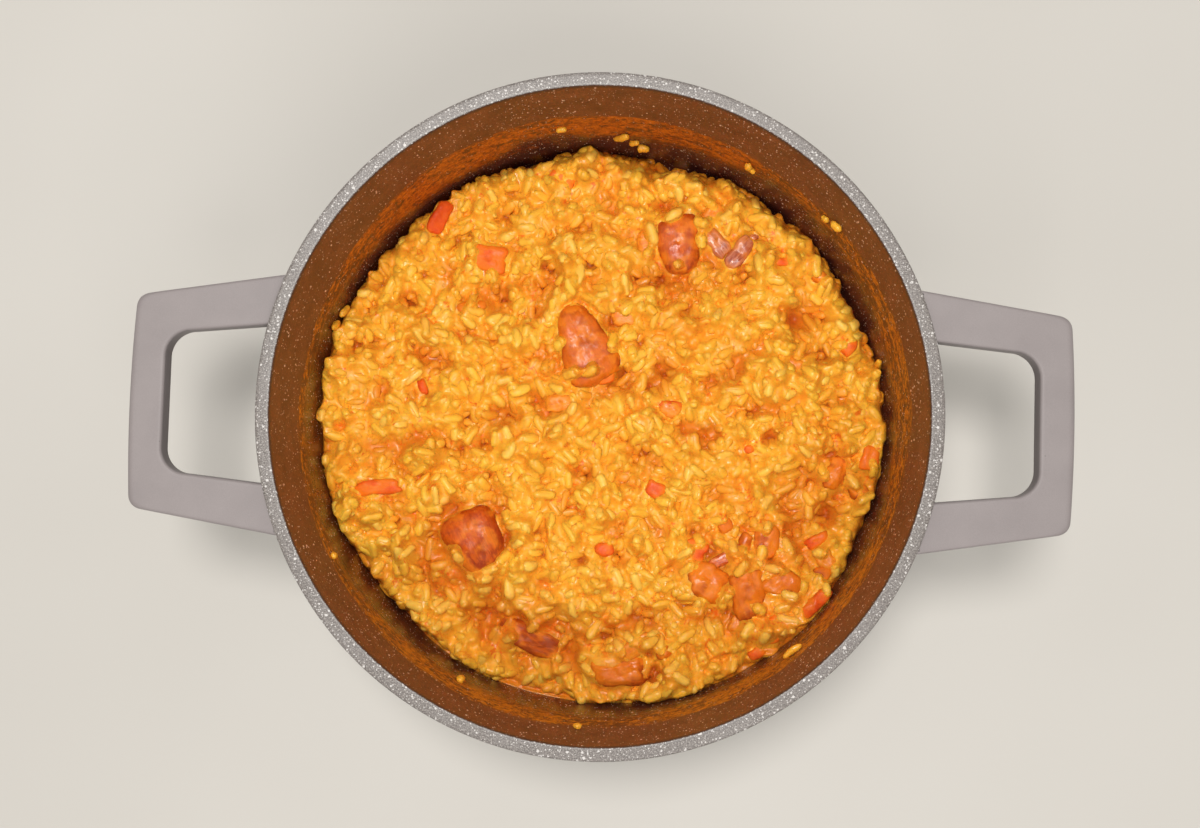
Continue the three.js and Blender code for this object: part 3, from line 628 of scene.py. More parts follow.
def lathe(profile, values, turns):
    """closed solid of revolution; the profile starts and ends on the axis"""
    n = len(profile)
    a = np.linspace(0, 2 * math.pi, turns, endpoint=False)
    pr = np.array(profile[1:-1])
    v = np.zeros((2 + (n - 2) * turns, 3))
    v[0] = (0, 0, profile[0][1])
    v[1] = (0, 0, profile[-1][1])
    ring = v[2:].reshape(n - 2, turns, 3)
    ring[:, :, 0] = pr[:, 0:1] * np.cos(a)
    ring[:, :, 1] = pr[:, 0:1] * np.sin(a)
    ring[:, :, 2] = pr[:, 1:2]
    val = np.concatenate([[values[0], values[-1]], np.repeat(values[1:-1], turns)])
    j = np.arange(turns)
    k = (j + 1) % turns
    quads = []
    for i in range(n - 3):
        b0, b1 = 2 + i * turns, 2 + (i + 1) * turns
        quads.append(np.stack([b0 + j, b0 + k, b1 + k, b1 + j], -1))
    tris = [np.stack([np.zeros_like(j), 2 + k, 2 + j], -1),
            np.stack([np.ones_like(j), 2 + (n - 3) * turns + j, 2 + (n - 3) * turns + k], -1)]
    return v, [np.concatenate(quads), np.concatenate(tris)], val


def build_pan():
    prof, val = [], []

    def add(points, inside):
        for i, p in enumerate(points):
            prof.append(p)
            val.append(inside[i] if isinstance(inside, (list, np.ndarray)) else inside)

    add([(0, 0), (60, 0), (BASE_R - 1.2, 0), (BASE_R - 0.5, 0.25), (BASE_R, 0.8)], 0.0)
    add(arc_pts(WALL_LOW_OUTER_R - CORNER_R_OUT, CORNER_R_OUT + 1.2, CORNER_R_OUT, -76, 0, 14), 0.0)
    for z in np.linspace(34, 84, 7):
        add([(WALL_LOW_OUTER_R + (RIM_OUTER_R - 0.9 - WALL_LOW_OUTER_R) * (z - 26.2) / (82.8 - 26.2)
              if z < 82.8 else RIM_OUTER_R - 0.87, z)], 0.0)
    for z in np.linspace(90, 113.4, 5):
        add([(RIM_OUTER_R - 0.9 + 0.9 * (z - 82.8) / 31.5, z)], 0.0)
    add(arc_pts(RIM_OUTER_R - 0.95, PAN_HEIGHT - 0.95, 0.95, 0, 90, 6), 0.0)
    for r in np.linspace(RIM_OUTER_R - 1.6, RIM_INNER_R + 1.3, 5):
        add([(r, PAN_HEIGHT)], 0.0)
    c = arc_pts(RIM_INNER_R + 0.75, PAN_HEIGHT - 0.75, 0.75, 90, 180, 8)
    add(c, list(np.linspace(0.0, 1.0, len(c))))
    for z in np.concatenate([np.linspace(113.2, 30, 36)]):
        add([(float(wall_r(z)), z)], 1.0)
    top = FLOOR_Z + CORNER_R_IN
    add(arc_pts(float(wall_r(top)) - CORNER_R_IN, top, CORNER_R_IN, 0, -90, 12), 1.0)
    add([(50, FLOOR_Z), (0, FLOOR_Z)], 1.0)
    v, f, values = lathe(prof, np.array(val), 360)
    return mesh_object("pan", v, f, attrs={"inner": values}, mats=[MAT_PAN])


def inset(pts, d):
    """closed outline (n,2) moved inward by d (one number or one per point)"""
    prev = np.roll(pts, 1, 0)
    nxt = np.roll(pts, -1, 0)
    e1 = pts - prev
    e2 = nxt - pts
    e1 /= np.linalg.norm(e1, axis=1, keepdims=True)
    e2 /= np.linalg.norm(e2, axis=1, keepdims=True)
    n1 = np.stack([-e1[:, 1], e1[:, 0]], -1)
    n2 = np.stack([-e2[:, 1], e2[:, 0]], -1)
    k = 1 / np.maximum(1 + (n1 * n2).sum(1), 0.45)
    return pts + (n1 + n2) * (k * d)[:, None]


def plate(name, pts, top, thick, edge_r, under_r, rise_from, rise, mirror, mat):
    """a flat-topped piece with a small round above and a deep one below"""
    n = len(pts)
    edge_r = np.broadcast_to(np.asarray(edge_r, float), (n,))
    rings = []
    rings.append((inset(pts, edge_r + 0.7), np.full(n, top)))
    for a in np.linspace(90, 0, 7):
        t = math.radians(a)
        rings.append((inset(pts, edge_r * (1 - math.cos(t))), top - edge_r * (1 - math.sin(t))))
    low = top - thick
    for a in np.linspace(0, 90, 9):
        t = math.radians(a)
        rings.append((inset(pts, np.full(n, under_r * (1 - math.cos(t)))), np.full(n, low + under_r * (1 - math.sin(t)))))
    rings.append((inset(pts, np.full(n, under_r + 0.7)), np.full(n, low)))
    v = np.concatenate([np.column_stack([p, z]) for p, z in rings])
    v[:, 2] += rise * (v[:, 0] - rise_from)
    j = np.arange(n)
    k = (j + 1) % n
    quads = []
    for i in range(len(rings) - 1):
        b0, b1 = i * n, (i + 1) * n
        quads.append(np.stack([b0 + j, b1 + j, b1 + k, b0 + k], -1))
    sx, sy = mirror
    v[:, 0] *= sx
    v[:, 1] *= sy
    from mathutils.geometry import tessellate_polygon
    flat = [Vector((float(x), float(y), 0)) for x, y in rings[0][0]]
    tt = np.array([list(t) for t in tessellate_polygon([flat])])
    a, b, c = (rings[0][0][tt[:, q]] for q in range(3))
    area = (b[:, 0] - a[:, 0]) * (c[:, 1] - a[:, 1]) - (b[:, 1] - a[:, 1]) * (c[:, 0] - a[:, 0])
    tt[area < 0] = tt[area < 0][:, ::-1]
    caps = np.concatenate([tt, tt[:, ::-1] + (len(rings) - 1) * n])
    groups = [np.concatenate(quads), caps]
    if sx * sy < 0:
        groups = [g[:, ::-1] for g in groups]
    return mesh_object(name, v, groups, mats=[mat], sharp_deg=50)


def path_points(pieces):
    out = []
    for p in pieces:
        for q in np.atleast_2d(p):
            if not out or math.hypot(q[0] - out[-1][0], q[1] - out[-1][1]) > 0.12:
                out.append((float(q[0]), float(q[1])))
    if math.hypot(out[0][0] - out[-1][0], out[0][1] - out[-1][1]) < 0.12:
        out.pop()
    return np.array(out)


def quad_curve(p0, c, p1, n):
    t = np.linspace(0, 1, n)[:, None]
    p0, c, p1 = map(np.array, (p0, c, p1))
    return (1 - t) ** 2 * p0 + 2 * (1 - t) * t * c + t * t * p1


def circle_pts(cx, cy, r, a0, a1, n):
    t = np.linspace(a0, a1, n)
    return np.column_stack([cx + r * np.cos(t), cy + r * np.sin(t)])


def build_handle(side, name):
    fit = 124.6
    ry, gy = HANDLE_HALF_W_ROOT, GAP_HALF_W_ROOT
    rx, gx = math.sqrt(fit ** 2 - ry ** 2), math.sqrt(fit ** 2 - gy ** 2)
    ex = HANDLE_END_X - HANDLE_END_BOW
    c, w, g = HANDLE_CORNER_R, HANDLE_HALF_W_END, GAP_CORNER_R
    a0, a1 = math.atan2(ry, rx), math.atan2(gy, gx)
    line = lambda p, q, n: np.linspace(np.array(p), np.array(q), n)
    pts = path_points([
        line((rx, -ry), (ex - c, -w - c * 0.12), 12),
        quad_curve((ex - c, -w - c * 0.12), (ex, -w), (ex + 0.2, -w + c), 9),
        quad_curve((ex + 0.2, -w + c), (ex + 2 * HANDLE_END_BOW, 0), (ex + 0.2, w - c), 25),
        quad_curve((ex + 0.2, w - c), (ex, w), (ex - c, w + c * 0.12), 9),
        line((ex - c, w + c * 0.12), (rx, ry), 12),
        circle_pts(0, 0, fit, a0, a1, 10),
        line((gx, gy), (GAP_END_X - g, GAP_HALF_W_END), 10),
        circle_pts(GAP_END_X - g, GAP_HALF_W_END - g, g, math.pi / 2, 0, 14),
        line((GAP_END_X, GAP_HALF_W_END - g), (GAP_END_X, -GAP_HALF_W_END + g), 8),
        circle_pts(GAP_END_X - g, -(GAP_HALF_W_END - g), g, 0, -math.pi / 2, 14),
        line((GAP_END_X - g, -GAP_HALF_W_END), (gx, -gy), 10),
        circle_pts(0, 0, fit, -a1, -a0, 10),
    ])
    # the end edge is rounded more than the rest
    end = smooth((pts[:, 0] - (ex - 7)) / 6.0)
    edge = HANDLE_EDGE_R + 1.1 * end
    return plate(name, pts, HANDLE_TOP_Z, HANDLE_T, edge, HANDLE_UNDER_R, HANDLE_ROOT_X, HANDLE_RISE, (side, 1), MAT_HANDLE)


def build_lug(sx, sy):
    half, reach, x0 = 5.0, 141.0, 116.5
    pts = path_points([
        np.array([[x0, -half]]), np.linspace((x0, -half), (reach - half, -half), 8),
        circle_pts(reach - half, 0, half, -math.pi / 2, math.pi / 2, 15),
        np.linspace((reach - half, half), (x0, half), 8)])
    pts = pts + np.array([0, 38.2])
    name = "lug_%s_%s" % ("right" if sx > 0 else "left", "back" if sy > 0 else "front")
    return plate(name, pts, HANDLE_TOP_Z - HANDLE_T + 0.25, 8.9, 0.9, 2.0, HANDLE_ROOT_X, HANDLE_RISE, (sx, sy), MAT_PAN)


pan = build_pan()
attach(pan, "root")
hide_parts("pan_body")
for sx in (1, -1):
    for sy in (1, -1):
        lug = build_lug(sx, sy)
        a = lug.data.attributes.new("inner", "FLOAT", "POINT")
        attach(lug, "root")
for side, nm in ((1, "handle_right"), (-1, "handle_left")):
    h = build_handle(side, "loop_" + nm)
    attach(h, "root")
    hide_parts(nm)

# ------------------------------------------------------------------ the heap

RELIEF = [
    (4, 0, 76, 3.2), (-50, -53, 19, -7.0), (-29, -91, 16, -5.0), (-68, -74, 15, 2.4),
    (30, 72, 16, -2.4), (-9, 32, 20, -1.8), (-44, 50, 20, -2.4), (60, 42, 24, 2.6),
    (64, 66, 20, 2.0), (61, -64, 22, -1.6), (4, -100, 18, -1.8), (100, -26, 17, -1.8),
    (-84, 18, 26, 1.8), (16, 2, 24, -1.4), (36, -24, 22, 1.6), (-78, -40, 20, 1.6),
    (-20, 84, 22, 1.6), (86, 16, 20, 1.6), (-12, -60, 24, 1.8), (72, -30, 18, -1.4)]
EDGE = np.array([
    [0, -2.5, 0], [8, 0.5, 2.0], [13, 0.8, 0.4], [20, 2.5, 6.3], [34, 3.5, 6.8],
    [46, 4.0, 4.0], [51, 4.5, 7.4], [62, 4.0, 4.2], [70, 4.5, 10.5], [78, 5.5, 12.3],
    [88, 5.0, 8.8], [95, 4.0, 3.6], [106, 5.0, 8.0], [120, 4.5, 3.0], [134, 4.5, 4.2],
    [150, 3.0, 2.6], [158, 1.0, 1.0], [166, -0.5, 0], [180, -0.5, 0], [189, 2.5, 0.3],
    [200, -1.5, 0], [210, 5.0, 0], [222, 8.5, 3.8], [236, 10.5, 3.0], [250, 10.0, 2.6],
    [262, 10.5, 3.2], [271, 7.0, 0.6], [280, -0.5, 0], [290, -4.0, 0], [306, -3.5, 0],
    [318, -5.5, 0], [328, 0.0, 0], [338, 3.5, 1.5], [348, 0.5, 0], [355, -3.5, 0],
    [360, -2.5, 0]])
# where sauce lies along the wall, degrees: weight
WALL_SAUCE = np.array([
    [0, 0.0], [160, 0.0], [172, 0.5], [190, 0.5], [204, 0.1], [226, 0.3], [240, 0.9],
    [268, 1.0], [276, 0.3], [290, 0.2], [300, 0.6], [314, 0.6], [324, 0.2], [334, 0.0], [360, 0.0]])


def by_angle(table, col, x, y):
    d = np.degrees(np.arctan2(y, x)) % 360
    i = np.clip(np.searchsorted(table[:, 0], d, side="right"), 1, len(table) - 1)
    a, b = table[i - 1], table[i]
    t = smooth((d - a[..., 0]) / np.maximum(b[..., 0] - a[..., 0], 1e-6))
    return a[..., col] + (b[..., col] - a[..., col]) * t


def heap_height(x, y):
    """the same surface as the solid rice heap"""
    x, y = np.asarray(x, float), np.asarray(y, float)
    r = np.hypot(x, y)
    z = np.full(np.broadcast(x, y).shape, RICE_LEVEL)
    for bx, by, br, bh in RELIEF:
        z = z + bh * np.exp(-((x - bx) ** 2 + (y - by) ** 2) / (br * br))
    z = z + 0.7 * wobble(x / 11, y / 11, 0.3, 3.7)
    t = smooth((r - 62) / 52)
    return z - by_angle(EDGE, 1, x, y) * t


PIECES = [
    # name, kind, at, size, yaw, box, rough, taper, bend, tip, show, seed
    ("chorizo_upper_right", "chorizo", (30.0, 75.0), (23.5, 16.2, 12), 97, 0.35, 0.10, 0.20, 0.0, 0, 0.50, 1.2),
    ("chorizo_centre", "chorizo", (-8.2, 32.4), (30.5, 19.0, 12), 116, 0.4, 0.12, -0.3, 0, 0, 0.53, 2.9),
    ("chorizo_large", "chorizo", (-50.6, -51.2), (26, 23, 17), -62, 0.32, 0.10, -0.28, 0, 0, 0.62, 4.4),
    ("chorizo_cluster_left", "chorizo", (44.6, -64.2), (17.0, 13.6, 9), -28, 0.45, 0.26, 0, 0, 0, 0.58, 5.1),
    ("chorizo_cluster_middle", "chorizo", (61.4, -67.6), (21.5, 13.4, 9.5), 102, 0.45, 0.28, 0, 0, 0, 0.57, 6.6),
    ("chorizo_cluster_right", "chorizo", (74.2, -65.4), (15.0, 11.0, 8), 32, 0.45, 0.26, 0, 0, 0, 0.57, 7.3),
    ("chorizo_skin_strip", "skin", (52.6, -54.4), (14.6, 4.6, 4.4), 33, 0.3, 0.1, 0, 0.25, 0, 0.85, 8.4),
    ("chorizo_cluster_back", "chorizo", (68.6, -48.0), (12.4, 9.6, 6.5), 84, 0.3, 0.22, 0, 0, 0, 0.56, 9.2),
    ("chorizo_front", "chorizo", (11.0, -102.2), (23, 12.6, 10.5), 3, 0.35, 0.18, 0, 0, 0, 0.6, 10.8),
    ("chorizo_right", "chorizo", (97.4, -19.2), (14.2, 9.4, 7.6), 70, 0.25, 0.2, 0, 0, 0, 0.6, 11.5),
    ("chorizo_right_outer", "chorizo", (106.6, -26.2), (9.6, 7.6, 6.4), -38, 0.3, 0.14, 0, 0, 0, 0.55, 12.7),
    ("chorizo_sunk", "chorizo", (-28.0, -91.0), (28, 11.5, 8), -22, 0.3, 0.16, 0, 0, 0, 0.72, 13.9),
    ("onion_left", "onion", (46.0, 75.6), (14.4, 7.0, 3.6), -50, 0.55, 0.18, 0, 0, 0, 0.86, 14.3),
    ("onion_right", "onion", (55.0, 71.4), (14.0, 7.4, 3.6), 50, 0.55, 0.2, 0, 0, 0, 0.86, 15.6),
    ("pepper_upper_left", "pepper", (-49.6, 67.0), (16, 10.8, 5), -12, 0.5, 0.14, 0, 0, 0, 0.6, 16.1),
    ("pepper_at_wall", "pepper", (-70.6, 84.4), (12.6, 6.8, 4.2), 66, 0.5, 0.12, 0, 0, 24, 0.7, 17.7),
    ("pepper_left", "pepper", (-91.4, -30.0), (17, 6.4, 4.2), 8, 0.5, 0.1, 0, 0, 0, 0.4, 18.2),
    ("pepper_right_upper", "pepper", (90.4, -46.8), (10.6, 4.8, 4.2), 26, 0.45, 0.1, 0, 0, 0, 0.5, 19.4),
    ("pepper_right_edge", "pepper", (88.6, -72.2), (14.4, 5.4, 5), 49, 0.45, 0.1, 0, 0, 0, 0.75, 20.5),
    ("pepper_right_lower", "pepper", (72.8, -82.6), (12.4, 8.4, 4.4), 52, 0.5, 0.1, 0, 0, 0, 0.75, 21.8),
    ("pepper_upper_right", "pepper", (72.6, 68.4), (15, 3.6, 3.8), 4, 0.45, 0.1, 0, 0, 0, 0.35, 22.9),
    ("pepper_middle", "pepper", (39.0, -52.4), (10.4, 8.2, 4), -20, 0.45, 0.1, 0, 0, 0, 0.5, 23.6),
    ("pepper_back", "pepper", (-19.8, 101.2), (10.2, 6, 4), -20, 0.45, 0.1, 0, 0, 0, 0.4, 24.4),
    ("pepper_right", "pepper", (110.6, -12.0), (9.8, 7.2, 4.4), 72, 0.45, 0.1, 0, 0, 0, 0.3, 25.9),
    # smaller bits that only the visual model has
    ("bit_pepper_1", "pepper", (2.6, -52.7), (6.6, 5.4, 3.4), 20, 0.45, 0.12, 0, 0, 0, 0.45, 31.1),
    ("bit_pepper_2", "pepper", (1.6, 17.6), (6.4, 3.8, 3.2), 20, 0.45, 0.12, 0, 0, 0, 0.55, 32.2),
    ("bit_pepper_3", "pepper", (65.6, -93.0), (6.8, 4.8, 3.4), 40, 0.45, 0.12, 0, 0, 0, 0.45, 33.3),
    ("bit_pepper_4", "pepper", (22.8, -27.4), (8.0, 6.2, 3.2), -30, 0.45, 0.12, 0, 0, 0, 0.3, 34.1),
    ("bit_pepper_5", "pepper", (101.6, 33.3), (7.4, 5.2, 3.2), 60, 0.45, 0.12, 0, 0, 0, 0.35, 35.6),
    ("bit_pepper_6", "pepper", (61.5, -10.0), (4.6, 3.2, 2.6), 10, 0.45, 0.12, 0, 0, 0, 0.4, 36.6),
    ("bit_pepper_7", "pepper", (-74.8, 11.8), (3.4, 6.4, 2.6), 20, 0.45, 0.12, 0, 0, 0, 0.4, 37.4),
    ("bit_pepper_8", "pepper", (28.4, 7.4), (9.0, 3.0, 2.6), -6, 0.45, 0.12, 0, 0, 0, 0.35, 38.9),
    ("bit_chorizo_1", "chorizo", (90.0, 62.0), (7.6, 6.0, 5.4), -30, 0.3, 0.14, 0, 0, 0, 0.5, 41.7),
    ("bit_chorizo_2", "chorizo", (-56.0, 46.5), (11.0, 5.0, 4.4), 10, 0.3, 0.14, 0, 0, 0, 0.2, 42.3),
    ("bit_chorizo_3", "chorizo", (52.0, -41.8), (6.0, 5.0, 4.0), 40, 0.3, 0.14, 0, 0, 0, 0.6, 43.2),
    ("bit_chorizo_4", "chorizo", (28.0, -94.0), (6.4, 4.4, 4.0), 35, 0.3, 0.14, 0, 0, 0, 0.5, 44.8),
    ("bit_chorizo_5", "chorizo", (92.5, -60.5), (7.0, 6.0, 4.4), 20, 0.3, 0.14, 0, 0, 0, 0.6, 45.4),
    ("bit_chorizo_6", "chorizo", (60.5, -48.5), (7.6, 5.6, 4.6), 70, 0.3, 0.14, 0, 0, 0, 0.6, 46.1),
    ("bit_onion_1", "soft", (16.5, -92.5), (13.5, 7.0, 3.6), 38, 0.3, 0.12, 0, 0, 8, 0.75, 51.2),
    ("bit_onion_2", "soft", (93.6, -54.2), (10.0, 7.6, 4.0), -60, 0.3, 0.12, 0, 0, 0, 0.6, 52.7),
    ("bit_onion_3", "soft", (83.0, -86.5), (9.0, 3.0, 3.2), 42, 0.3, 0.12, 0, 0, 0, 0.55, 53.3),
    ("bit_onion_4", "soft", (69.5, -92.5), (10.5, 3.4, 3.2), 0, 0.3, 0.12, 0, 0, 0, 0.50, 54.8),
    ("bit_onion_5", "soft", (9.0, 44.0), (12.0, 9.0, 3.8), 10, 0.3, 0.12, 0, 0, 0, 0.28, 55.1),
    ("bit_onion_6", "soft", (28.0, 5.6), (9.0, 6.4, 3.4), -20, 0.3, 0.12, 0, 0, 0, 0.35, 56.9),
    ("bit_onion_7", "soft", (-18.0, 6.8), (11.0, 6.6, 3.6), 14, 0.3, 0.12, 0, 0, 0, 0.32, 57.7),
    ("bit_onion_8", "soft", (44.0, 88.0), (9.4, 7.0, 3.6), 60, 0.3, 0.12, 0, 0, 0, 0.45, 58.6),
    ("bit_onion_9", "soft", (79.2, 23.2), (9.0, 6.0, 3.4), 80, 0.3, 0.12, 0, 0, 0, 0.30, 59.5),
    ("bit_onion_10", "soft", (16.5, 74.5), (7.0, 12.0, 3.8), 10, 0.3, 0.12, 0, 0, 0, 0.40, 60.3),
    ("bit_onion_11", "soft", (-22.0, -99.0), (12.0, 4.6, 3.4), -14, 0.3, 0.12, 0, 0, 0, 0.40, 61.8),
    ("bit_onion_12", "onion", (60.6, 78.4), (5.0, 2.4, 2.2), 14, 0.3, 0.12, 0, 0, 0, 0.55, 62.2),
    ("bit_onion_13", "soft", (58.0, -81.0), (8.6, 5.4, 3.2), 50, 0.3, 0.12, 0, 0, 0, 0.35, 63.6),
]


# how strongly a chunk's surface is broken up; 1 where nothing is said
CALM = {"chorizo_upper_right": 0.30, "chorizo_large": 0.30, "chorizo_centre": 0.40, "chorizo_front": 0.9,
        "chorizo_cluster_left": 1.9, "chorizo_cluster_middle": 2.0, "chorizo_cluster_right": 1.9, "chorizo_cluster_back": 1.8,
        "chorizo_right": 1.7, "bit_chorizo_5": 1.5, "bit_chorizo_6": 1.5}


# how far a chunk's colour has gone from red to orange; 0.5 where nothing is said
ORANGE = {"chorizo_upper_right": 0.30, "chorizo_large": 0.22, "chorizo_centre": 0.55, "chorizo_front": 0.90,
          "chorizo_cluster_left": 0.90, "chorizo_cluster_middle": 0.85, "chorizo_cluster_right": 0.75,
          "chorizo_cluster_back": 0.80, "chorizo_right": 0.85, "chorizo_right_outer": 0.70, "chorizo_sunk": 0.60,
          "bit_chorizo_5": 0.9, "bit_chorizo_6": 0.8, "bit_chorizo_3": 0.8}


# painted shade: where a chunk is darker, on the side away from the light: towards which side (x, y), from how far out
# in mm, over how many mm
PAINTED_SHADE_SIDE = {"chorizo_large": (0.62, -0.78, -2.5, 7.5), "chorizo_upper_right": (0.1, -1.0, 4.0, 7.0),
        "chorizo_front": (0.2, -1.0, 1.0, 5.0), "chorizo_sunk": (0.0, -1.0, -8.0, 4.0),
        "chorizo_cluster_middle": (0.6, -0.8, 4.0, 6.0), "chorizo_right_outer": (0.8, -0.6, 0.0, 4.0)}


def rotation(yaw, tip):
    y, t = math.radians(yaw), math.radians(tip)
    rz = np.array([[math.cos(y), -math.sin(y), 0], [math.sin(y), math.cos(y), 0], [0, 0, 1]])
    rx = np.array([[1, 0, 0], [0, math.cos(t), -math.sin(t)], [0, math.sin(t), math.cos(t)]])
    return rz @ rx


_ico = {}


def icosphere(level):
    if level not in _ico:
        import bmesh
        bm = bmesh.new()
        bmesh.ops.create_icosphere(bm, subdivisions=level, radius=1.0)
        v = np.array([list(x.co) for x in bm.verts])
        f = np.array([[q.index for q in x.verts] for x in bm.faces])
        bm.free()
        _ico[level] = (v, f)
    return _ico[level]


def piece_vertices(p, level, detail=True):
    name, kind, at, size, yaw, box, rough, taper, bend, tip, show, seed = p
    v, f = icosphere(level)
    n = 2 + box * 4
    s = (np.abs(v) ** n).sum(1) ** (-1 / n)
    k = 1 + rough * wobble(v[:, 0] * 1.4, v[:, 1] * 1.4, v[:, 2] * 1.4, seed)
    q = v * (s * k)[:, None]
    x, y, z = q[:, 0].copy(), q[:, 1].copy(), q[:, 2].copy()
    if detail and kind in ("chorizo",):
        # knife cuts: a few flat faces taken off the rounded piece
        rng = np.random.default_rng(int(seed * 10))
        for _ in range(4 if CALM.get(name, 1.0) > 0.6 else (0 if CALM[name] < 0.5 else 2)):
            d = rng.normal(size=3) * np.array([1, 1, 0.55])
            d /= np.linalg.norm(d)
            lim = rng.uniform(0.80, 0.94)
            e = x * d[0] + y * d[1] + z * d[2]
            over = np.maximum(e - lim, 0)
            over = over - 0.12 * np.minimum(over, 0.2)
            x, y, z = x - d[0] * over, y - d[1] * over, z - d[2] * over
    y = y * (1 + taper * x)
    y = y + bend * (x * x - 0.4)
    grow = 1.07 if kind == "chorizo" else 1.03
    q = np.column_stack([x * size[0] / 2 * grow, y * size[1] / 2 * grow, z * size[2] / 2])
    if detail:
        nrm = q / np.maximum(np.linalg.norm(q, axis=1, keepdims=True), 1e-6)
        if kind == "chorizo":
            torn = 0.68 if CALM.get(name, 1.0) > 1.55 else 1.0
            big = fbm(*(q / (4.2 * torn)).T, int(seed * 7), 2)
            mid = 0.5 - np.abs(fbm(*(q / (2.6 * torn)).T, int(seed * 9), 2))
            fine = fbm(q[:, 0] / 0.9, q[:, 1] / 0.9, q[:, 2] / 0.9, int(seed * 5), 2)
            k = min(1.0, size[2] / 10) * CALM.get(name, 1.0)
            disp = k * (0.75 * big + 0.8 * (mid - 0.3) + 0.16 * fine)
        else:
            big, sm = {"skin": (0.3, 0.10), "onion": (0.75, 0.20), "soft": (0.85, 0.18), "pepper": (0.70, 0.10)}[kind]
            disp = big * fbm(q[:, 0] / 3.0, q[:, 1] / 3.0, q[:, 2] / 3.0, int(seed * 7), 2)
            disp = disp + sm * fbm(q[:, 0] / 0.9, q[:, 1] / 0.9, q[:, 2] / 0.9, int(seed * 5), 2)
        if kind in ("pepper", "soft"):
            # the outline runs in and out a little
            w = fbm(np.arctan2(y, x) * 1.1 + 3.0, z * 0.4, 0.0, int(seed * 11), 2)
            q[:, :2] *= (1 + 0.22 * w)[:, None]
        q = q + nrm * disp[:, None]
    own = q.copy()
    q = q @ rotation(yaw, tip).T
    zc = float(heap_height(*at)) + size[2] * (show - 0.5)
    q = q + np.array([at[0], at[1], zc])
    return (q, f, own) if detail else (q, f)


# ------------------------------------------------------------------ grains
CELL = 0.45
HALF = 121.05
AXIS = np.arange(-HALF, HALF + CELL / 2, CELL)
GX, GY = np.meshgrid(AXIS, AXIS, indexing="ij")
GR = np.hypot(GX, GY)
NG = len(AXIS)


def blur(img, sigma_mm, weight=None):
    """gaussian blur over the pan only"""
    fx = np.fft.fftfreq(NG, CELL)
    fy = np.fft.rfftfreq(NG, CELL)
    k = np.exp(-2 * (math.pi * sigma_mm) ** 2 * (fx[:, None] ** 2 + fy[None, :] ** 2))
    w = (GR < 119.0).astype(float) if weight is None else weight
    num = np.fft.irfft2(np.fft.rfft2(img * w) * k, s=img.shape)
    den = np.fft.irfft2(np.fft.rfft2(w) * k, s=img.shape)
    return num / np.maximum(den, 1e-3)


def sweep(img, radius, sign):
    """raise (sign 1) or lower (sign -1) by a rolling bowl of this radius"""
    out = img
    reach = 8
    for axis in (0, 1):
        best = out.copy()
        for k in range(1, reach + 1):
            q = (k * CELL) ** 2 / (2 * radius)
            for d in (k, -k):
                moved = np.roll(out, d, axis)
                best = np.maximum(best, moved - q) if sign > 0 else np.minimum(best, moved + q)
        out = best
    return out


def bridge(img, radius):
    """fills the clefts that a bowl of this radius can't reach into"""
    return sweep(sweep(img, radius, 1), radius, -1)


def sample(img, x, y):
    u = np.clip((np.asarray(x) + HALF) / CELL, 0, NG - 1.001)
    v = np.clip((np.asarray(y) + HALF) / CELL, 0, NG - 1.001)
    i, j = u.astype(int), v.astype(int)
    a, b = u - i, v - j
    return (img[i, j] * (1 - a) * (1 - b) + img[i + 1, j] * a * (1 - b)
            + img[i, j + 1] * (1 - a) * b + img[i + 1, j + 1] * a * b)


BANKS = [(-50, -52, 18, 4.2), (30, 74, 13, 1.2), (-9, 32, 16, 0.6), (11, -102, 12, 1.5), (62, -64, 16, 1.4)]


# clefts that go down into the heap: x, y, half length, half width, degrees, extra depth
HOLLOWS = [
    (-37.2, -85.0, 11.0, 3.7, -12, 3.0), (28.4, 61.4, 7.0, 3.2, 2, 3.0), (-64.8, -50.0, 6.0, 2.6, 92, 2.0),
    (80.1, 44.6, 5.4, 2.0, -46, 1.0), (3.2, 18.4, 5.8, 1.8, 14, 2.0), (-19.3, 2.8, 6.2, 1.4, 5, 1.5),
    (58.0, 77.4, 6.0, 1.2, 16, 1.0), (-71.9, -61.4, 5.0, 1.4, 20, 1.0), (44.8, -4.6, 3.8, 1.8, 49, 1.0),
    (94.7, -12.9, 3.8, 2.0, 69, 0.5), (23.4, -103.6, 5.4, 1.4, 26, 1.5), (35.0, 85.4, 5.0, 1.4, -33, 1.0),
    (-20.0, -89.0, 3.9, 2.2, -13, 1.5), (94.5, -34.0, 3.4, 1.8, -18, 1.5), (-61.6, -36.8, 3.9, 1.6, 73, 1.5),
    (79.4, -41.0, 5.2, 1.4, 21, 1.0), (24.4, 22.0, 3.2, 1.8, 33, 1.0), (-60.4, 46.3, 4.3, 1.6, 66, 1.0),
    (55.8, 25.7, 3.5, 1.7, -28, 0.5), (-9.9, -92.8, 4.8, 1.2, 52, 1.0), (10.4, -84.8, 3.7, 1.3, -19, 0.5),
    (-41.0, 11.4, 3.9, 1.4, -70, 1.0), (34.1, -3.0, 2.7, 1.7, 12, 0.5), (-73.9, 24.5, 2.8, 1.6, -76, 0.5),
    (-55.5, 36.1, 2.5, 1.6, -17, 0.5), (68.1, -27.5, 2.6, 1.6, 8, 0.5), (-18.6, 21.7, 2.5, 1.7, 78, 1.0),
    (46.1, 16.8, 3.1, 1.4, 27, 0.5), (-66.4, -16.6, 3.0, 1.5, -39, 0.5), (-48.4, -37.6, 4.2, 1.2, -4, 1.0),
    (4.4, -110.0, 4.5, 1.8, 10, 1.0), (-37.0, -46.8, 2.2, 1.4, -60, 1.0), (-57.0, -64.0, 2.6, 1.4, 10, 1.0)]


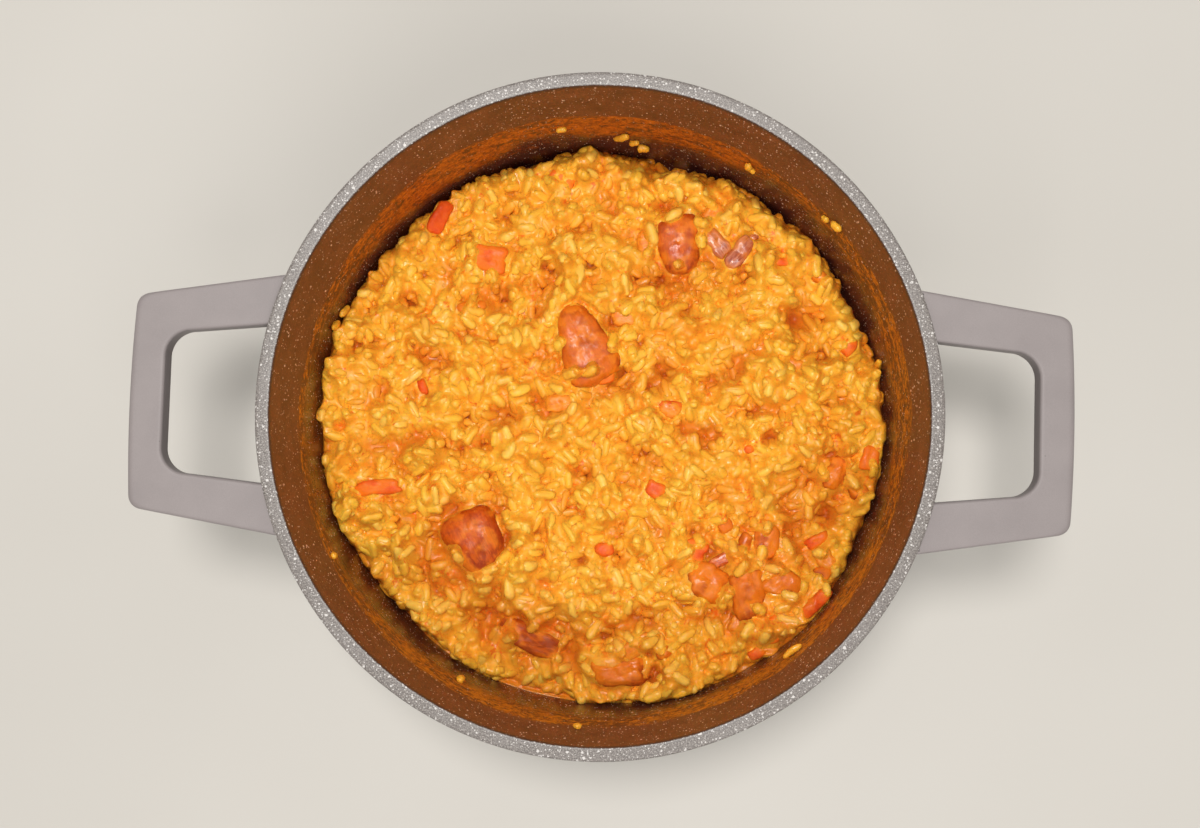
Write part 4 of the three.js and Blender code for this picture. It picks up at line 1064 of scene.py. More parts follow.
# broad dips between the clumps: x, y, half length, half width, degrees, depth
VALES = [
    (-53, 52, 8, 4.5, -8, 4), (-32, 55, 16, 4.5, 20, 4.5), (-71, 24, 11, 4.5, 52, 4), (-61, -11, 7, 5, 0, 3.5), (-5, 19, 8, 4.5, -25, 4),
    (23, 19, 5, 5, 0, 4), (51, 23, 9, 4, 38, 4.5), (34, -0, 5, 4, 0, 3.5), (45, -3, 5, 4, 60, 3.5), (83, 45, 6, 5, -50, 4.5),
    (95, -31, 9, 5.5, 70, 4.5), (79, -40, 7, 6, 0, 4), (-63, -48, 7, 4, 85, 4.5), (-19, 5, 10, 4, -12, 3.5), (-26, -90, 20, 7, -18, 4),
    (-68, -69, 8, 5, -40, 3), (20, 57, 5, 8, 90, 2.5), (-19, 49, 8, 4, -30, 3), (59, 2, 6, 4, 10, 3), (8, -8, 10, 4, -20, 2.5),
    (-42, -1, 9, 4, 30, 2.5), (69, -10, 7, 5, 80, 3), (-3, -57, 8, 4, 15, 2.5), (25, -48, 7, 4, -60, 2.5), (-85, -6, 8, 5, 80, 3),
    (18, -81, 9, 4, 10, 3),
]


RAGGED = 1 + 0.35 * fbm(GX / 2.6, GY / 2.6, 0.0, 401, 2)


def hollow_reach(bx, by, la, lb, yaw):
    """0 at the middle of a cleft, 1 on its outline"""
    a = math.radians(yaw)
    u = (GX - bx) * math.cos(a) + (GY - by) * math.sin(a)
    v = -(GX - bx) * math.sin(a) + (GY - by) * math.cos(a)
    return ((u / la) ** 2 + (v / lb) ** 2) * RAGGED


def heap_target():
    """where the tops of the grains should come to"""
    t = heap_height(GX, GY)
    lumps = np.abs(fbm(GX / 17.0, GY / 17.0, 0.0, 11, 3, 0.55))
    small = np.abs(fbm(GX / 6.8, GY / 6.8, 0.0, 29, 2, 0.5))
    t = t + 12.0 * (lumps - 0.27) + 2.8 * (small - 0.28) + 0.6
    t = t + 1.6 * fbm(GX / 30.0, GY / 30.0, 0.0, 5, 2)
    # clumps end in small ledges
    s = 4.0 * fbm(GX / 24.0, GY / 24.0, 0.0, 303, 3, 0.5)
    t = t + 4.2 * (np.floor(s) + smooth((s - np.floor(s) - 0.36) / 0.28) - s)
    # the rice stands close round the sunken chunks
    for bx, by, br, bh in BANKS:
        t = t + bh * np.exp(-((GX - bx) ** 2 + (GY - by) ** 2) / (br * br))
    for bx, by, la, lb, yaw, deep in VALES:
        t = t - deep * np.exp(-0.75 * hollow_reach(bx, by, la * 1.15, lb * 1.15, yaw))
    for bx, by, la, lb, yaw, deep in HOLLOWS:
        t = t - deep * np.exp(-0.6 * hollow_reach(bx, by, la, lb, yaw) ** 2)
    slump = by_angle(EDGE, 2, GX, GY) + 1.1 * fbm(GX / 7.0, GY / 7.0, 0.0, 77, 2) * (by_angle(EDGE, 2, GX, GY) > 0.6)
    edge = wall_r(36.0) - 0.3 - slump
    s = GR - (edge - 1.6)
    return t - np.where(s > 0, 1.9 * (np.sqrt(s * s + 1.2 ** 2) - 1.2), 0)


TARGET = heap_target()
OPEN = np.zeros(TARGET.shape, bool)
for _h in HOLLOWS:
    OPEN |= hollow_reach(*_h[:5]) < 0.8


def stamp_piece(height, p):
    """raise the height map to the top of a piece"""
    v, f = piece_vertices(p, 4 if p[3][0] < 12 else 5, detail=False)
    keep = v[:, 2] > sample(height, v[:, 0], v[:, 1]) - 3
    i = np.clip(np.round((v[keep, 0] + HALF) / CELL).astype(int), 1, NG - 2)
    j = np.clip(np.round((v[keep, 1] + HALF) / CELL).astype(int), 1, NG - 2)
    z = v[keep, 2]
    for di in (0, 1, -1):
        for dj in (0, 1, -1):
            np.maximum.at(height, (i + di, j + dj), z - 0.25 * (abs(di) + abs(dj)))


# pieces that no grain lies on
CLEAR = ("pepper_at_wall", "chorizo_large", "chorizo_centre", "onion_left", "onion_right", "bit_onion_12", "pepper_left", "bit_pepper_2")


# grains that lie on the chunks: x, y, degrees, length, width
PLACED = [
    (27.4, 86.0, 35, 7.8, 4.2), (39.4, 75.6, 95, 5.6, 4.4), (21.4, 62.8, 20, 6.0, 4.0), (29.4, 65.6, 120, 4.2, 3.2), (38.6, 83.0, -20, 6.4, 4.4),
    (-57.4, -57.6, -62, 7.8, 3.8), (-38.0, -40.6, -70, 6.0, 4.2),
    (3.6, 33.0, 82, 8.6, 4.2), (-18.6, 30.6, 60, 5.8, 4.2), (-13.6, 18.6, 15, 8.0, 4.2), (-5.6, 19.6, 24, 7.6, 4.2),
    (58.4, -58.8, 60, 8.0, 3.8), (66.8, -52.4, 75, 6.8, 4.2), (77.4, -49.4, -70, 8.2, 4.2), (70.8, -58.4, -5, 8.4, 3.8),
    (22.6, -90.0, 30, 8.0, 4.2), (103.4, -21.8, -55, 8.2, 4.0), (101.6, -33.4, 20, 7.6, 4.2),
    (-26.2, -86.4, 50, 6.4, 4.0), (-36.4, -91.4, 15, 6.8, 4.2),
    (-44.5, -63.0, 30, 7.6, 4.2), (-38.6, -57.6, 50, 7.8, 4.2), (-51.0, -66.0, -10, 7.2, 4.0), (-45.6, -66.4, 12, 7.8, 4.2),
    (-39.4, -62.8, 62, 7.4, 4.0),
]


def lay_grains():
    rng = np.random.default_rng(20241)
    bare = TARGET - 5.0
    height = bare.copy()
    for p in PIECES:
        stamp_piece(height, p)
    # grains press up against the pieces and lie over their margins here and there
    aim = TARGET.copy()
    piece = height > bare + 0.01
    patchy = fbm(GX / 5.0, GY / 5.0, 0.0, 91, 2)
    ring = sweep(np.where(piece, height, -60.0), 3.2, 1) - 1.1 + 1.4 * patchy
    aim = np.where(piece, aim, np.maximum(aim, np.minimum(ring, aim + 4.0)))
    inner = blur(piece.astype(float), 2.0)
    margin = piece & (inner < 0.90)
    aim = np.where(margin & (patchy > 0.02), np.maximum(aim, height + 1.7), aim)
    # elsewhere a narrow dark gap is left along them
    moat = ~piece & (blur(piece.astype(float), 0.9) > 0.14) & (patchy < -0.14)
    shut = OPEN | moat
    for p in PIECES:
        if p[0] in CLEAR:
            alone = bare.copy()
            stamp_piece(alone, p)
            shut |= alone > bare + 0.01
    owner = np.full(height.shape, -1, np.int32)
    inside = GR < 117.4
    cells = np.argwhere(inside)
    reach = 12
    oi, oj = np.meshgrid(np.arange(-reach, reach + 1), np.arange(-reach, reach + 1), indexing="ij")
    ox, oy = oi * CELL, oj * CELL
    field = fbm(GX / 20.0, GY / 20.0, 0.0, 41, 2) * 5.0
    grains = []
    misses = 0
    limit = 12000
    placed = list(PLACED)
    while len(grains) < limit and (misses < 2600 or placed):
        pick = cells[rng.integers(0, len(cells), 10)]
        gap = aim[pick[:, 0], pick[:, 1]] - height[pick[:, 0], pick[:, 1]]
        best = int(np.argmax(gap))
        last = misses >= 2600
        if gap[best] < 0.30 and not last:
            misses += 1
            continue
        i, j = pick[best]
        x, y = AXIS[i] + rng.uniform(-0.25, 0.25), AXIS[j] + rng.uniform(-0.25, 0.25)
        length = float(np.clip(rng.normal(7.9, 1.1), 5.2, 10.0))
        if rng.random() < 0.20:
            length *= 0.64
        width = float(np.clip(rng.normal(3.95, 0.35), 3.2, 4.8))
        thick = width * rng.uniform(0.80, 0.95)
        yaw = field[i, j] + rng.normal(0, 0.95)
        if last:
            x, y, yaw, length, width = placed.pop(0)
            yaw = math.radians(yaw)
            thick = width * 0.9
            i = int(round((x + HALF) / CELL))
            j = int(round((y + HALF) / CELL))
        a, b, c = length / 2, width / 2, thick / 2
        lim = 117.9 - b
        r = math.hypot(x, y)
        ca, sa = math.cos(yaw), math.sin(yaw)
        out = max(math.hypot(x + ca * a, y + sa * a), math.hypot(x - ca * a, y - sa * a))
        if out > lim:
            k = (out - lim) / max(r, 1e-6)
            x, y = x * (1 - k), y * (1 - k)
            i = int(round((x + HALF) / CELL))
            j = int(round((y + HALF) / CELL))
        i0, j0 = i - reach, j - reach
        if i0 < 0 or j0 < 0 or i + reach >= NG or j + reach >= NG:
            misses += 1
            continue
        sl = (slice(i0, i + reach + 1), slice(j0, j + reach + 1))
        dx, dy = AXIS[i] + ox - x, AXIS[j] + oy - y
        u = dx * ca + dy * sa
        v = -dx * sa + dy * ca
        shape = (np.abs(u / a) ** 3.2) + (v / b) ** 2
        foot = shape < 1
        rise = c * np.sqrt(np.maximum(1 - shape, 0))
        local = height[sl]
        w = (shape < 0.85).astype(float)
        sw = w.sum()
        m = (local * w).sum() / sw
        su = (local * u * w).sum() / max((u * u * w).sum(), 1e-6)
        sv = (local * v * w).sum() / max((v * v * w).sum(), 1e-6)
        lean = 0.55 if rng.random() < 0.34 else 0.16
        su = float(np.clip(su * 0.85 + rng.normal(0, lean), -1.3, 1.3))
        sv = float(np.clip(sv * 0.6, -0.6, 0.6))
        plane = su * u + sv * v
        need = (local - plane + rise)[foot]
        q = int(0.82 * len(need))
        zc = float(np.partition(need, q)[q]) - 0.44 * c
        top = zc + plane + rise
        over = zc + c * 0.55 - aim[i, j]
        if over > 0.9 and not last:
            misses += 1
            continue
        up = foot & (top > local)
        if (up.sum() < 16 or (foot & shut[sl]).sum() > 0.10 * foot.sum()) and not last:
            misses += 1
            continue
        local[up] = top[up]
        owner[sl][up] = len(grains)
        grains.append((x, y, zc, yaw, su, sv, length, width, thick))
        if not last:
            misses = max(misses - 1, 0)
    return np.array(grains), height, owner, bare


GRAINS, HEIGHT, OWNER, BARE = lay_grains()

# sauce clings between the grains: it bridges the clefts, thickly where there
# is much of it, and leaves small dark gaps where there is little
RICH = [  # places where it lies over the grains: x, y, radius, weight
    (22, -38, 14, 0.9), (55, 42, 12, 0.7), (-6, -60, 12, 0.6), (-60, -62, 12, 0.7), (-28, -92, 18, 0.8),
    (78, -56, 22, 0.8), (104, -36, 14, 0.8), (30, -12, 12, 0.6), (-66, 8, 12, 0.5), (-2, 60, 10, 0.6),
    (50, 12, 12, 0.5), (72, -88, 16, 0.8), (-88, -6, 14, 0.6),
    (-100, 14, 13, 0.9), (-99, -22, 12, 0.8), (-84, -54, 12, 0.7), (-4, 96, 14, 0.6), (-24, 44, 12, 0.6), (12, 48, 10, 0.7),
    (84, 70, 12, 0.6), (64, -30, 12, 0.6)]
WETNESS = 0.15 + 0.64 * fbm(GX / 14.0, GY / 14.0, 0.0, 63, 3)
for _x, _y, _r, _w in RICH:
    WETNESS = WETNESS + _w * 0.55 * np.exp(-((GX - _x) ** 2 + (GY - _y) ** 2) / _r ** 2)
WETNESS = smooth(WETNESS)
# the tops of the bigger pieces stay clear of it
BARE_PIECE = blur(((OWNER < 0) & (HEIGHT > BARE + 0.3)).astype(float), 0.7)
WETNESS = WETNESS * (1 - 0.7 * smooth(blur(BARE_PIECE, 2.0) * 2.5))
_tight = bridge(HEIGHT, 1.25)
_loose = blur(bridge(HEIGHT, 1.8), 0.36)
_wide = blur(HEIGHT, 4.5)
VALLEY = smooth((_wide - blur(HEIGHT, 1.1) - 0.6) / 1.4)
# redder sauce round the meat: x, y, radius, weight
RED = np.zeros(HEIGHT.shape)
for _x, _y, _r, _w in [(62, -60, 17, 0.9), (98, -22, 12, 0.8), (-26, -92, 16, 0.9), (12, -103, 13, 0.8), (80, -84, 14, 0.7),
                       (30, 66, 12, 0.5), (-6, 22, 10, 0.5), (-52, -62, 10, 0.6), (22, 6, 9, 0.5), (-64, -66, 10, 0.5),
                       (33, 36, 9, 0.4), (-98, -10, 10, 0.4), (80, -40, 12, 0.6), (4, 96, 10, 0.3)]:
    RED = RED + _w * np.exp(-((GX - _x) ** 2 + (GY - _y) ** 2) / _r ** 2)
RED = np.clip(RED * (1 + 0.9 * fbm(GX / 7.0, GY / 7.0, 0.0, 171, 2)), 0, 1)
# darker and redder where the heap dips and in the clefts: partly sauce gathered there, partly painted shade
DIP_SAUCE_AND_SHADE = smooth((blur(HEIGHT, 9.0) - blur(HEIGHT, 2.6) - 0.2) / 2.6)
for _x, _y, _la, _lb, _yaw, _deep in HOLLOWS:
    DIP_SAUCE_AND_SHADE = DIP_SAUCE_AND_SHADE + min(1.0, 0.45 * _deep) * np.exp(-0.55 * hollow_reach(_x, _y, _la * 1.1, _lb * 1.5, _yaw))
DIP_SAUCE_AND_SHADE = np.clip(DIP_SAUCE_AND_SHADE, 0, 1)
FILM = blur(_tight, 0.30) * (1 - WETNESS) + _loose * WETNESS
_gapn = fbm(GX / 3.8, GY / 3.8, 0.0, 131, 2)
_off = 0.60 - 0.44 * WETNESS + (0.40 + 1.9 * smooth((_gapn - 0.05) / 0.25)) * VALLEY * (1 - 0.7 * WETNESS)
SAUCE = FILM - _off
_lap = smooth((fbm(GX / 4.5, GY / 4.5, 0.0, 211, 2) + 0.15) / 0.4)
SAUCE = SAUCE - (0.25 + 1.4 * _lap) * smooth((BARE_PIECE - 0.35) / 0.5)
COVER = SAUCE - HEIGHT
_ws = by_angle(WALL_SAUCE, 1, GX, GY)
_edge_z = RICE_LEVEL - by_angle(EDGE, 1, GX, GY)
_pool = _edge_z - 3.9 + 1.7 * np.exp(-np.maximum(117.9 - GR, 0) / 0.8)
_blend = smooth((GR - 114.2) / 3.0) * _ws
SAUCE = np.where(_pool > SAUCE, SAUCE + (_pool - SAUCE) * _blend, SAUCE)


def grain_shapes(count, rings, segs, rng):
    """a family of plump rods along X, unit half length, width and thickness"""
    out = []
    t = np.linspace(0, math.pi, rings + 2)[1:-1]
    a = np.linspace(0, 2 * math.pi, segs, endpoint=False)
    for _ in range(count):
        u = -np.cos(t)
        prof = np.maximum(1 - np.abs(u) ** rng.uniform(2.2, 4.2), 0.02) ** rng.uniform(0.42, 0.58)
        prof = prof * (1 + rng.uniform(-0.18, 0.18) * u + rng.uniform(-0.10, 0.06) * np.cos(u * math.pi))
        bend = rng.uniform(-0.24, 0.24)
        lift = rng.uniform(-0.10, 0.10)
        groove = rng.uniform(0.0, 0.16)
        ang0 = rng.uniform(0, 2 * math.pi)
        v = np.zeros((2 + rings * segs, 3))
        v[0] = (-1, bend * 0.8, lift)
        v[1] = (1, bend * 0.8, lift)
        g = v[2:].reshape(rings, segs, 3)
        bump = 1 - groove * np.exp(-((np.angle(np.exp(1j * (a - ang0)))) / 0.5) ** 2)
        # blunt ends are cut a little askew
        skew = rng.uniform(-0.22, 0.22) * u[:, None] ** 3 * np.cos(a - rng.uniform(0, 6.28)) * prof[:, None]
        g[:, :, 0] = u[:, None] + skew * np.abs(u[:, None])
        g[:, :, 1] = prof[:, None] * np.cos(a) * bump + bend * (u * u)[:, None] * 0.8
        g[:, :, 2] = prof[:, None] * np.sin(a) * bump + lift * (u * u)[:, None]
        s0 = int(rng.integers(1e6))
        n = vnoise(v[:, 0] * 1.9 + 9.3, v[:, 1] * 1.3, v[:, 2] * 1.3 + 7.1, s0)
        n2 = vnoise(v[:, 0] * 3.4 + 2.3, v[:, 1] * 2.2 + 5.0, v[:, 2] * 2.2, s0 + 1)
        n3 = vnoise(v[:, 0] * 5.5 + 4.1, v[:, 1] * 3.6, v[:, 2] * 3.6 + 2.2, s0 + 2)
        v[:, 1:] *= (1 + 0.15 * n + 0.12 * n2 + 0.07 * n3)[:, None]
        v[:, 0] *= 1 + 0.05 * n2
        out.append(v)
    j = np.arange(segs)
    k = (j + 1) % segs
    quads = []
    for i in range(rings - 1):
        b0, b1 = 2 + i * segs, 2 + (i + 1) * segs
        quads.append(np.stack([b0 + j, b0 + k, b1 + k, b1 + j], -1))
    quads = np.concatenate(quads)
    tris = np.concatenate([np.stack([np.zeros_like(j), 2 + k, 2 + j], -1),
                           np.stack([np.ones_like(j), 2 + (rings - 1) * segs + j, 2 + (rings - 1) * segs + k], -1)])
    # every corner's place in the grain's own cell of the map
    uq = np.zeros((len(quads), 4, 2))
    for i in range(rings - 1):
        sl = slice(i * segs, (i + 1) * segs)
        x0, x1 = (i + 1) / (rings + 1), (i + 2) / (rings + 1)
        uq[sl, 0] = np.column_stack([np.full(segs, x0), j / segs])
        uq[sl, 1] = np.column_stack([np.full(segs, x0), (j + 1) / segs])
        uq[sl, 2] = np.column_stack([np.full(segs, x1), (j + 1) / segs])
        uq[sl, 3] = np.column_stack([np.full(segs, x1), j / segs])
    ut = np.zeros((len(tris), 3, 2))
    ut[:segs, 0] = np.column_stack([np.zeros(segs), (j + 0.5) / segs])
    ut[:segs, 1] = np.column_stack([np.full(segs, 1 / (rings + 1)), (j + 1) / segs])
    ut[:segs, 2] = np.column_stack([np.full(segs, 1 / (rings + 1)), j / segs])
    ut[segs:, 0] = np.column_stack([np.ones(segs), (j + 0.5) / segs])
    ut[segs:, 1] = np.column_stack([np.full(segs, rings / (rings + 1)), j / segs])
    ut[segs:, 2] = np.column_stack([np.full(segs, rings / (rings + 1)), (j + 1) / segs])
    return out, quads, tris, uq, ut


def grain_mesh(name, grains, frames, tones, mat, rings=9, segs=11, seed=5, stain=None):
    """one joined mesh of many grains. frames: (n,3,3) columns are the grain's axes"""
    rng = np.random.default_rng(seed)
    shapes, quads, tris, uq, ut = grain_shapes(60, rings, segs, rng)
    shapes = np.array(shapes)
    n = len(grains)
    which = rng.integers(0, len(shapes), n)
    flip = np.where(rng.random(n) < 0.5, -1.0, 1.0)
    base = shapes[which] * np.stack([flip, flip, np.ones(n)], -1)[:, None, :]
    half = grains[:, 6:9] / 2
    base = base * half[:, None, :]
    v = np.einsum("nij,nkj->nki", frames, base) + grains[:, None, 0:3]
    nv = base.shape[1]
    off = (np.arange(n) * nv)[:, None, None]
    q = (quads[None] + off).reshape(-1, 4)
    t = (tris[None] + off).reshape(-1, 3)
    side = int(math.ceil(math.sqrt(n)))
    cx, cy = (np.arange(n) % side) / side, (np.arange(n) // side) / side
    cell = 0.9 / side
    pad = 0.05 / side
    uvq = np.stack([cx[:, None, None] + pad + uq[None, :, :, 0] * cell, cy[:, None, None] + pad + uq[None, :, :, 1] * cell], -1)
    uvt = np.stack([cx[:, None, None] + pad + ut[None, :, :, 0] * cell, cy[:, None, None] + pad + ut[None, :, :, 1] * cell], -1)
    uv = np.concatenate([uvq.reshape(-1, 2), uvt.reshape(-1, 2)])
    tone = np.repeat(tones, nv)
    flat = v.reshape(-1, 3)
    if stain is None:
        wet = np.clip(1 - (flat[:, 2] - sample(SAUCE, flat[:, 0], flat[:, 1])) / 1.5, 0, 1)
        wet = wet * (0.55 + 0.45 * sample(WETNESS, flat[:, 0], flat[:, 1]))
    else:
        wet = np.full(len(flat), stain)
    dip_sauce_and_shade = sample(DIP_SAUCE_AND_SHADE, flat[:, 0], flat[:, 1]) if stain is None else np.zeros(len(flat))
    red = sample(RED, flat[:, 0], flat[:, 1]) if stain is None else np.zeros(len(flat))
    return mesh_object(name, flat, [q, t], attrs={"tone": tone, "wet": wet, "dip_sauce_and_shade": dip_sauce_and_shade, "red": red}, uv=uv, mats=[mat])


def frames_from(yaw, su, sv, roll):
    e1 = np.column_stack([np.cos(yaw), np.sin(yaw), su])
    e1 /= np.linalg.norm(e1, axis=1, keepdims=True)
    e2 = np.column_stack([-np.sin(yaw), np.cos(yaw), sv])
    e2 -= e1 * (e1 * e2).sum(1, keepdims=True)
    e2 /= np.linalg.norm(e2, axis=1, keepdims=True)
    e3 = np.cross(e1, e2)
    c, s = np.cos(roll)[:, None], np.sin(roll)[:, None]
    return np.stack([e1, e2 * c + e3 * s, e3 * c - e2 * s], -1)


def build_grains():
    seen = (OWNER >= 0) & (HEIGHT > SAUCE + 0.05) & (GR < 118.5)
    count = np.bincount(OWNER[seen], minlength=len(GRAINS))
    keep = count >= 7
    g = GRAINS[keep]
    rng = np.random.default_rng(7)
    lift = sample(blur(HEIGHT, 1.6) - blur(HEIGHT, 7.0), g[:, 0], g[:, 1])
    # the term in -y is painted light: grains towards the front get a lighter, yellower tone to lift the shade on the
    # front slopes
    tone = np.clip(rng.normal(0.5, 0.17, len(g)) + 0.16 * fbm(g[:, 0] / 16, g[:, 1] / 16, 0.0, 8, 2) + 0.20 * np.clip(lift, -2, 2)
                   + 0.24 * smooth((-30 - g[:, 1]) / 40) - 0.05, 0, 1)
    frames = frames_from(g[:, 3], g[:, 4], g[:, 5], rng.normal(0, 0.35, len(g)))
    parts = 4
    per = int(math.ceil(len(g) / parts))
    out = []
    order = np.argsort(np.arctan2(g[:, 1], g[:, 0]))
    for k in range(parts):
        idx = order[k * per:(k + 1) * per]
        out.append(grain_mesh("rice_grains_%d" % (k + 1), g[idx], frames[idx], tone[idx], MAT_GRAIN, seed=50 + k))
    return out, len(g)


# ------------------------------------------------------------------ sauce and core


def build_core():
    n = 452
    lin = np.linspace(-1, 1, n)
    a, b = np.meshgrid(lin, lin, indexing="ij")
    # even mapping of the square onto the disc
    r = np.where(np.abs(a) >= np.abs(b), a, b)
    with np.errstate(divide="ignore", invalid="ignore"):
        phi = np.where(np.abs(a) >= np.abs(b), math.pi / 4 * np.nan_to_num(b / a), math.pi / 2 - math.pi / 4 * np.nan_to_num(a / b))
    ux, uy = r * np.cos(phi), r * np.sin(phi)
    rim = np.hypot(ux, uy)
    # outermost ring lies on the wall at the height the sauce has there
    edge_r = 118.0
    x, y = ux * edge_r, uy * edge_r
    z = sample(SAUCE, x * 0.997, y * 0.997)
    wr = wall_r(z) + 0.12
    scale = wr / edge_r
    k = smooth((rim - 0.93) / 0.07)
    x, y = x * (1 + (scale - 1) * k), y * (1 + (scale - 1) * k)
    low_z = 20.0
    idx = np.arange(n * n).reshape(n, n)
    quads = np.stack([idx[:-1, :-1].ravel(), idx[1:, :-1].ravel(), idx[1:, 1:].ravel(), idx[:-1, 1:].ravel()], -1)
    # sides down to a plain underside
    loop = np.concatenate([idx[:-1, 0], idx[-1, :-1], idx[:0:-1, -1], idx[0, :0:-1]])
    m = len(loop)
    top = np.column_stack([x.ravel(), y.ravel(), z.ravel()])
    low = top[loop].copy()
    cap = float(wall_r(low_z)) - 0.3
    low[:, :2] *= np.minimum(1, cap / np.hypot(low[:, 0], low[:, 1]))[:, None]
    low[:, 2] = low_z
    v = np.concatenate([top, low, [[0.0, 0.0, low_z]]])
    j = np.arange(m)
    kk = (j + 1) % m
    skirt = np.stack([loop[j], n * n + j, n * n + kk, loop[kk]], -1)
    fan = np.stack([np.full(m, n * n + m), n * n + kk, n * n + j], -1)
    quads = np.concatenate([quads, skirt])
    whole = np.concatenate([quads[:, [0, 1, 2]], quads[:, [0, 2, 3]], fan])
    ob = mesh_object("rice_sauce", v, whole, mats=[MAT_SAUCE])
    mod = ob.modifiers.new("thin", "DECIMATE")
    mod.ratio = 190000 / len(whole)
    dg = bpy.context.evaluated_depsgraph_get()
    me = bpy.data.meshes.new_from_object(ob.evaluated_get(dg))
    old = ob.data
    ob.modifiers.clear()
    ob.data = me
    bpy.data.meshes.remove(old)
    me.name = "rice_sauce"
    co = np.zeros(len(me.vertices) * 3, np.float32)
    me.vertices.foreach_get("co", co)
    co = co.reshape(-1, 3) / MM
    depth = np.clip(sample(_wide, co[:, 0], co[:, 1]) - co[:, 2], -3, 8)
    rich = sample(WETNESS, co[:, 0], co[:, 1])
    cover = sample(COVER, co[:, 0], co[:, 1])
    dip_sauce_and_shade = sample(DIP_SAUCE_AND_SHADE, co[:, 0], co[:, 1])
    red = sample(RED, co[:, 0], co[:, 1])
    for key, values in (("depth", depth), ("rich", rich), ("cover", cover), ("dip_sauce_and_shade", dip_sauce_and_shade), ("red", red)):
        at = me.attributes.new(key, "FLOAT", "POINT")
        at.data.foreach_set("value", values.astype(np.float32))
    me.polygons.foreach_set("use_smooth", np.ones(len(me.polygons), bool))
    me.update()
    return [ob]


cores = build_core()
for core in cores:
    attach(core, "root")
grain_objs, grain_count = build_grains()
for g in grain_objs:
    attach(g, "root")
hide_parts("rice_mass")

# ------------------------------------------------------------------ chorizo, onion, pepper
MATS = {"chorizo": MAT_CHORIZO, "skin": MAT_SKIN, "onion": MAT_ONION, "soft": MAT_SOFT, "pepper": MAT_PEPPER}
for p in PIECES:
    v, f, own = piece_vertices(p, 5 if p[3][0] >= 22 else (4 if p[3][0] > 8.5 else 3))
    wet = np.clip(1 - (v[:, 2] - sample(SAUCE, v[:, 0], v[:, 1])) / 2.2, 0, 1)
    tone = np.full(len(v), ORANGE.get(p[0], 0.5) if p[1] == "chorizo" else (p[11] * 7.13) % 1.0)
    # painted shade: the listed chunks are made darker on the side away from the light
    dx, dy, start, over = PAINTED_SHADE_SIDE.get(p[0], (0.0, 0.0, 1.0, 1.0))
    dark = smooth(((v[:, 0] - p[2][0]) * dx + (v[:, 1] - p[2][1]) * dy - start) / over)
    nm = p[0] if p[0].startswith("bit_") else "food_" + p[0]
    ob = mesh_object(nm, v, f, attrs={"wet": wet, "tone": tone, "dark": dark, "own_x": own[:, 0], "own_y": own[:, 1], "own_z": own[:, 2]},
                     mats=[MATS[p[1]]])
    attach(ob, "root")
    if not p[0].startswith("bit_"):
        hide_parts(p[0])

# ------------------------------------------------------------------ grains stuck on the wall
# degrees round the pan, height, length, turn against the level
STUCK = [
    (162.0, 51.6, 8.2, 64), (158.4, 47.0, 7.6, 48), (243.3, 65.0, 6.4, 84), (311.0, 73.6, 8.8, 8), (209.0, 74.6, 3.4, 70),
    (13.2, 46.0, 9.4, 72), (87.6, 53.6, 8.8, -50), (85.0, 47.4, 4.8, -40), (83.0, 42.6, 5.0, 4), (61.2, 66.6, 5.2, 80),
    (60.6, 64.4, 4.4, 30), (40.5, 82.2, 5.6, -24), (43.0, 76.6, 3.6, -50), (99.4, 67.4, 4.4, 8), (267.6, 86.0, 3.0, 60),
]


def build_stuck():
    rows, frames = [], []
    for deg, z, length, turn in STUCK:
        a, t = math.radians(deg), math.radians(turn)
        out = np.array([math.cos(a), math.sin(a), 0.0])
        tan = np.array([-math.sin(a), math.cos(a), 0.0])
        up = np.array([0, 0, 1.0])
        e1 = tan * math.cos(t) + up * math.sin(t)
        e2 = np.cross(-out, e1)
        width = 3.4 if length >= 5 else 2.9
        width = 4.0 if length == 5.0 else width
        r = float(wall_r(z)) - width * 0.36
        rows.append((r * out[0], r * out[1], z, 0, 0, 0, length, width, width * 0.85))
        frames.append(np.column_stack([e1, e2, -out]))
    rows = np.array(rows)
    return grain_mesh("rice_on_wall", rows, np.array(frames), np.linspace(0.35, 0.75, len(rows)), MAT_GRAIN, rings=12, segs=14, seed=90, stain=0.35)


stuck = build_stuck()
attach(stuck, "root")

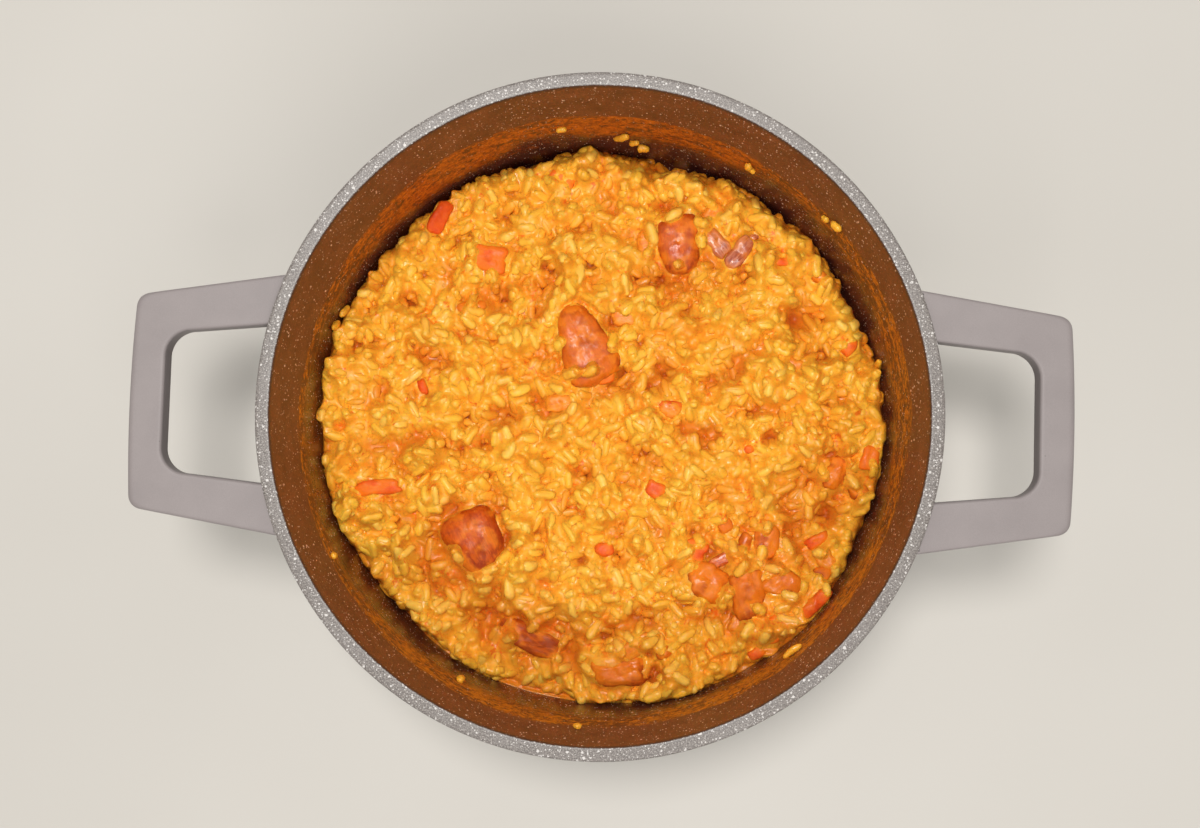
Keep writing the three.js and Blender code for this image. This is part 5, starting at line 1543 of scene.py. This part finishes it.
# ------------------------------------------------------------------ floor, light
floor_mat = Nodes("floor")
_fl = floor_mat.noise(260.0, 2.0, 0.5)
floor_mat.finish(floor_mat.ramp(_fl, [(0.3, (0.52, 0.495, 0.455)), (0.7, (0.56, 0.535, 0.495))]), 0.6, specular=0.25)
_turns = np.linspace(0, 2 * math.pi, 96, endpoint=False)
floor = mesh_object("floor", np.column_stack([9000 * np.cos(_turns), 9000 * np.sin(_turns), 0 * _turns]),
                    np.arange(96)[None, :], mats=[floor_mat.mat])

world = bpy.data.worlds.new("studio")
scene.world = world
world.use_nodes = True
_wt = world.node_tree
_back = _wt.nodes["Background"]
_dir = _wt.nodes.new("ShaderNodeTexCoord")
_sep = _wt.nodes.new("ShaderNodeSeparateXYZ")
_up = _wt.nodes.new("ShaderNodeMapRange")
_up.inputs["From Min"].default_value = 0.05
_up.inputs["From Max"].default_value = 1.0
_up.inputs["To Min"].default_value = 0.70
_up.inputs["To Max"].default_value = 0.26
_wt.links.new(_dir.outputs["Generated"], _sep.inputs[0])
_wt.links.new(_sep.outputs[2], _up.inputs["Value"])
_wt.links.new(_up.outputs["Result"], _back.inputs[1])
_back.inputs[0].default_value = (1.0, 0.985, 0.96, 1.0)


def area(name, loc, aim, size, power, color=(1, 1, 1)):
    d = bpy.data.lights.new(name, "AREA")
    d.shape = "DISK"
    d.size = size
    d.energy = power
    d.color = color
    o = bpy.data.objects.new(name, d)
    scene.collection.objects.link(o)
    o.location = loc
    o.rotation_euler = (Vector(aim) - Vector(loc)).to_track_quat("-Z", "Y").to_euler()
    return o


area("key", (-0.08, 0.20, 1.49), (0, 0, 0.06), 0.44, 16.8, (1.0, 0.985, 0.96))
area("fill", (0.18, -0.76, 1.20), (0, 0, 0.06), 0.80, 6.3, (1.0, 0.99, 0.97))

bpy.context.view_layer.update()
print("grains laid", len(GRAINS), "kept", grain_count)
tri = 0
for o in scene.objects:
    if o.type == "MESH" and not o.hide_render:
        o.data.calc_loop_triangles()
        tri += len(o.data.loop_triangles)
        if len(o.data.loop_triangles) > 20000:
            print(o.name, len(o.data.loop_triangles))
print("triangles", tri)
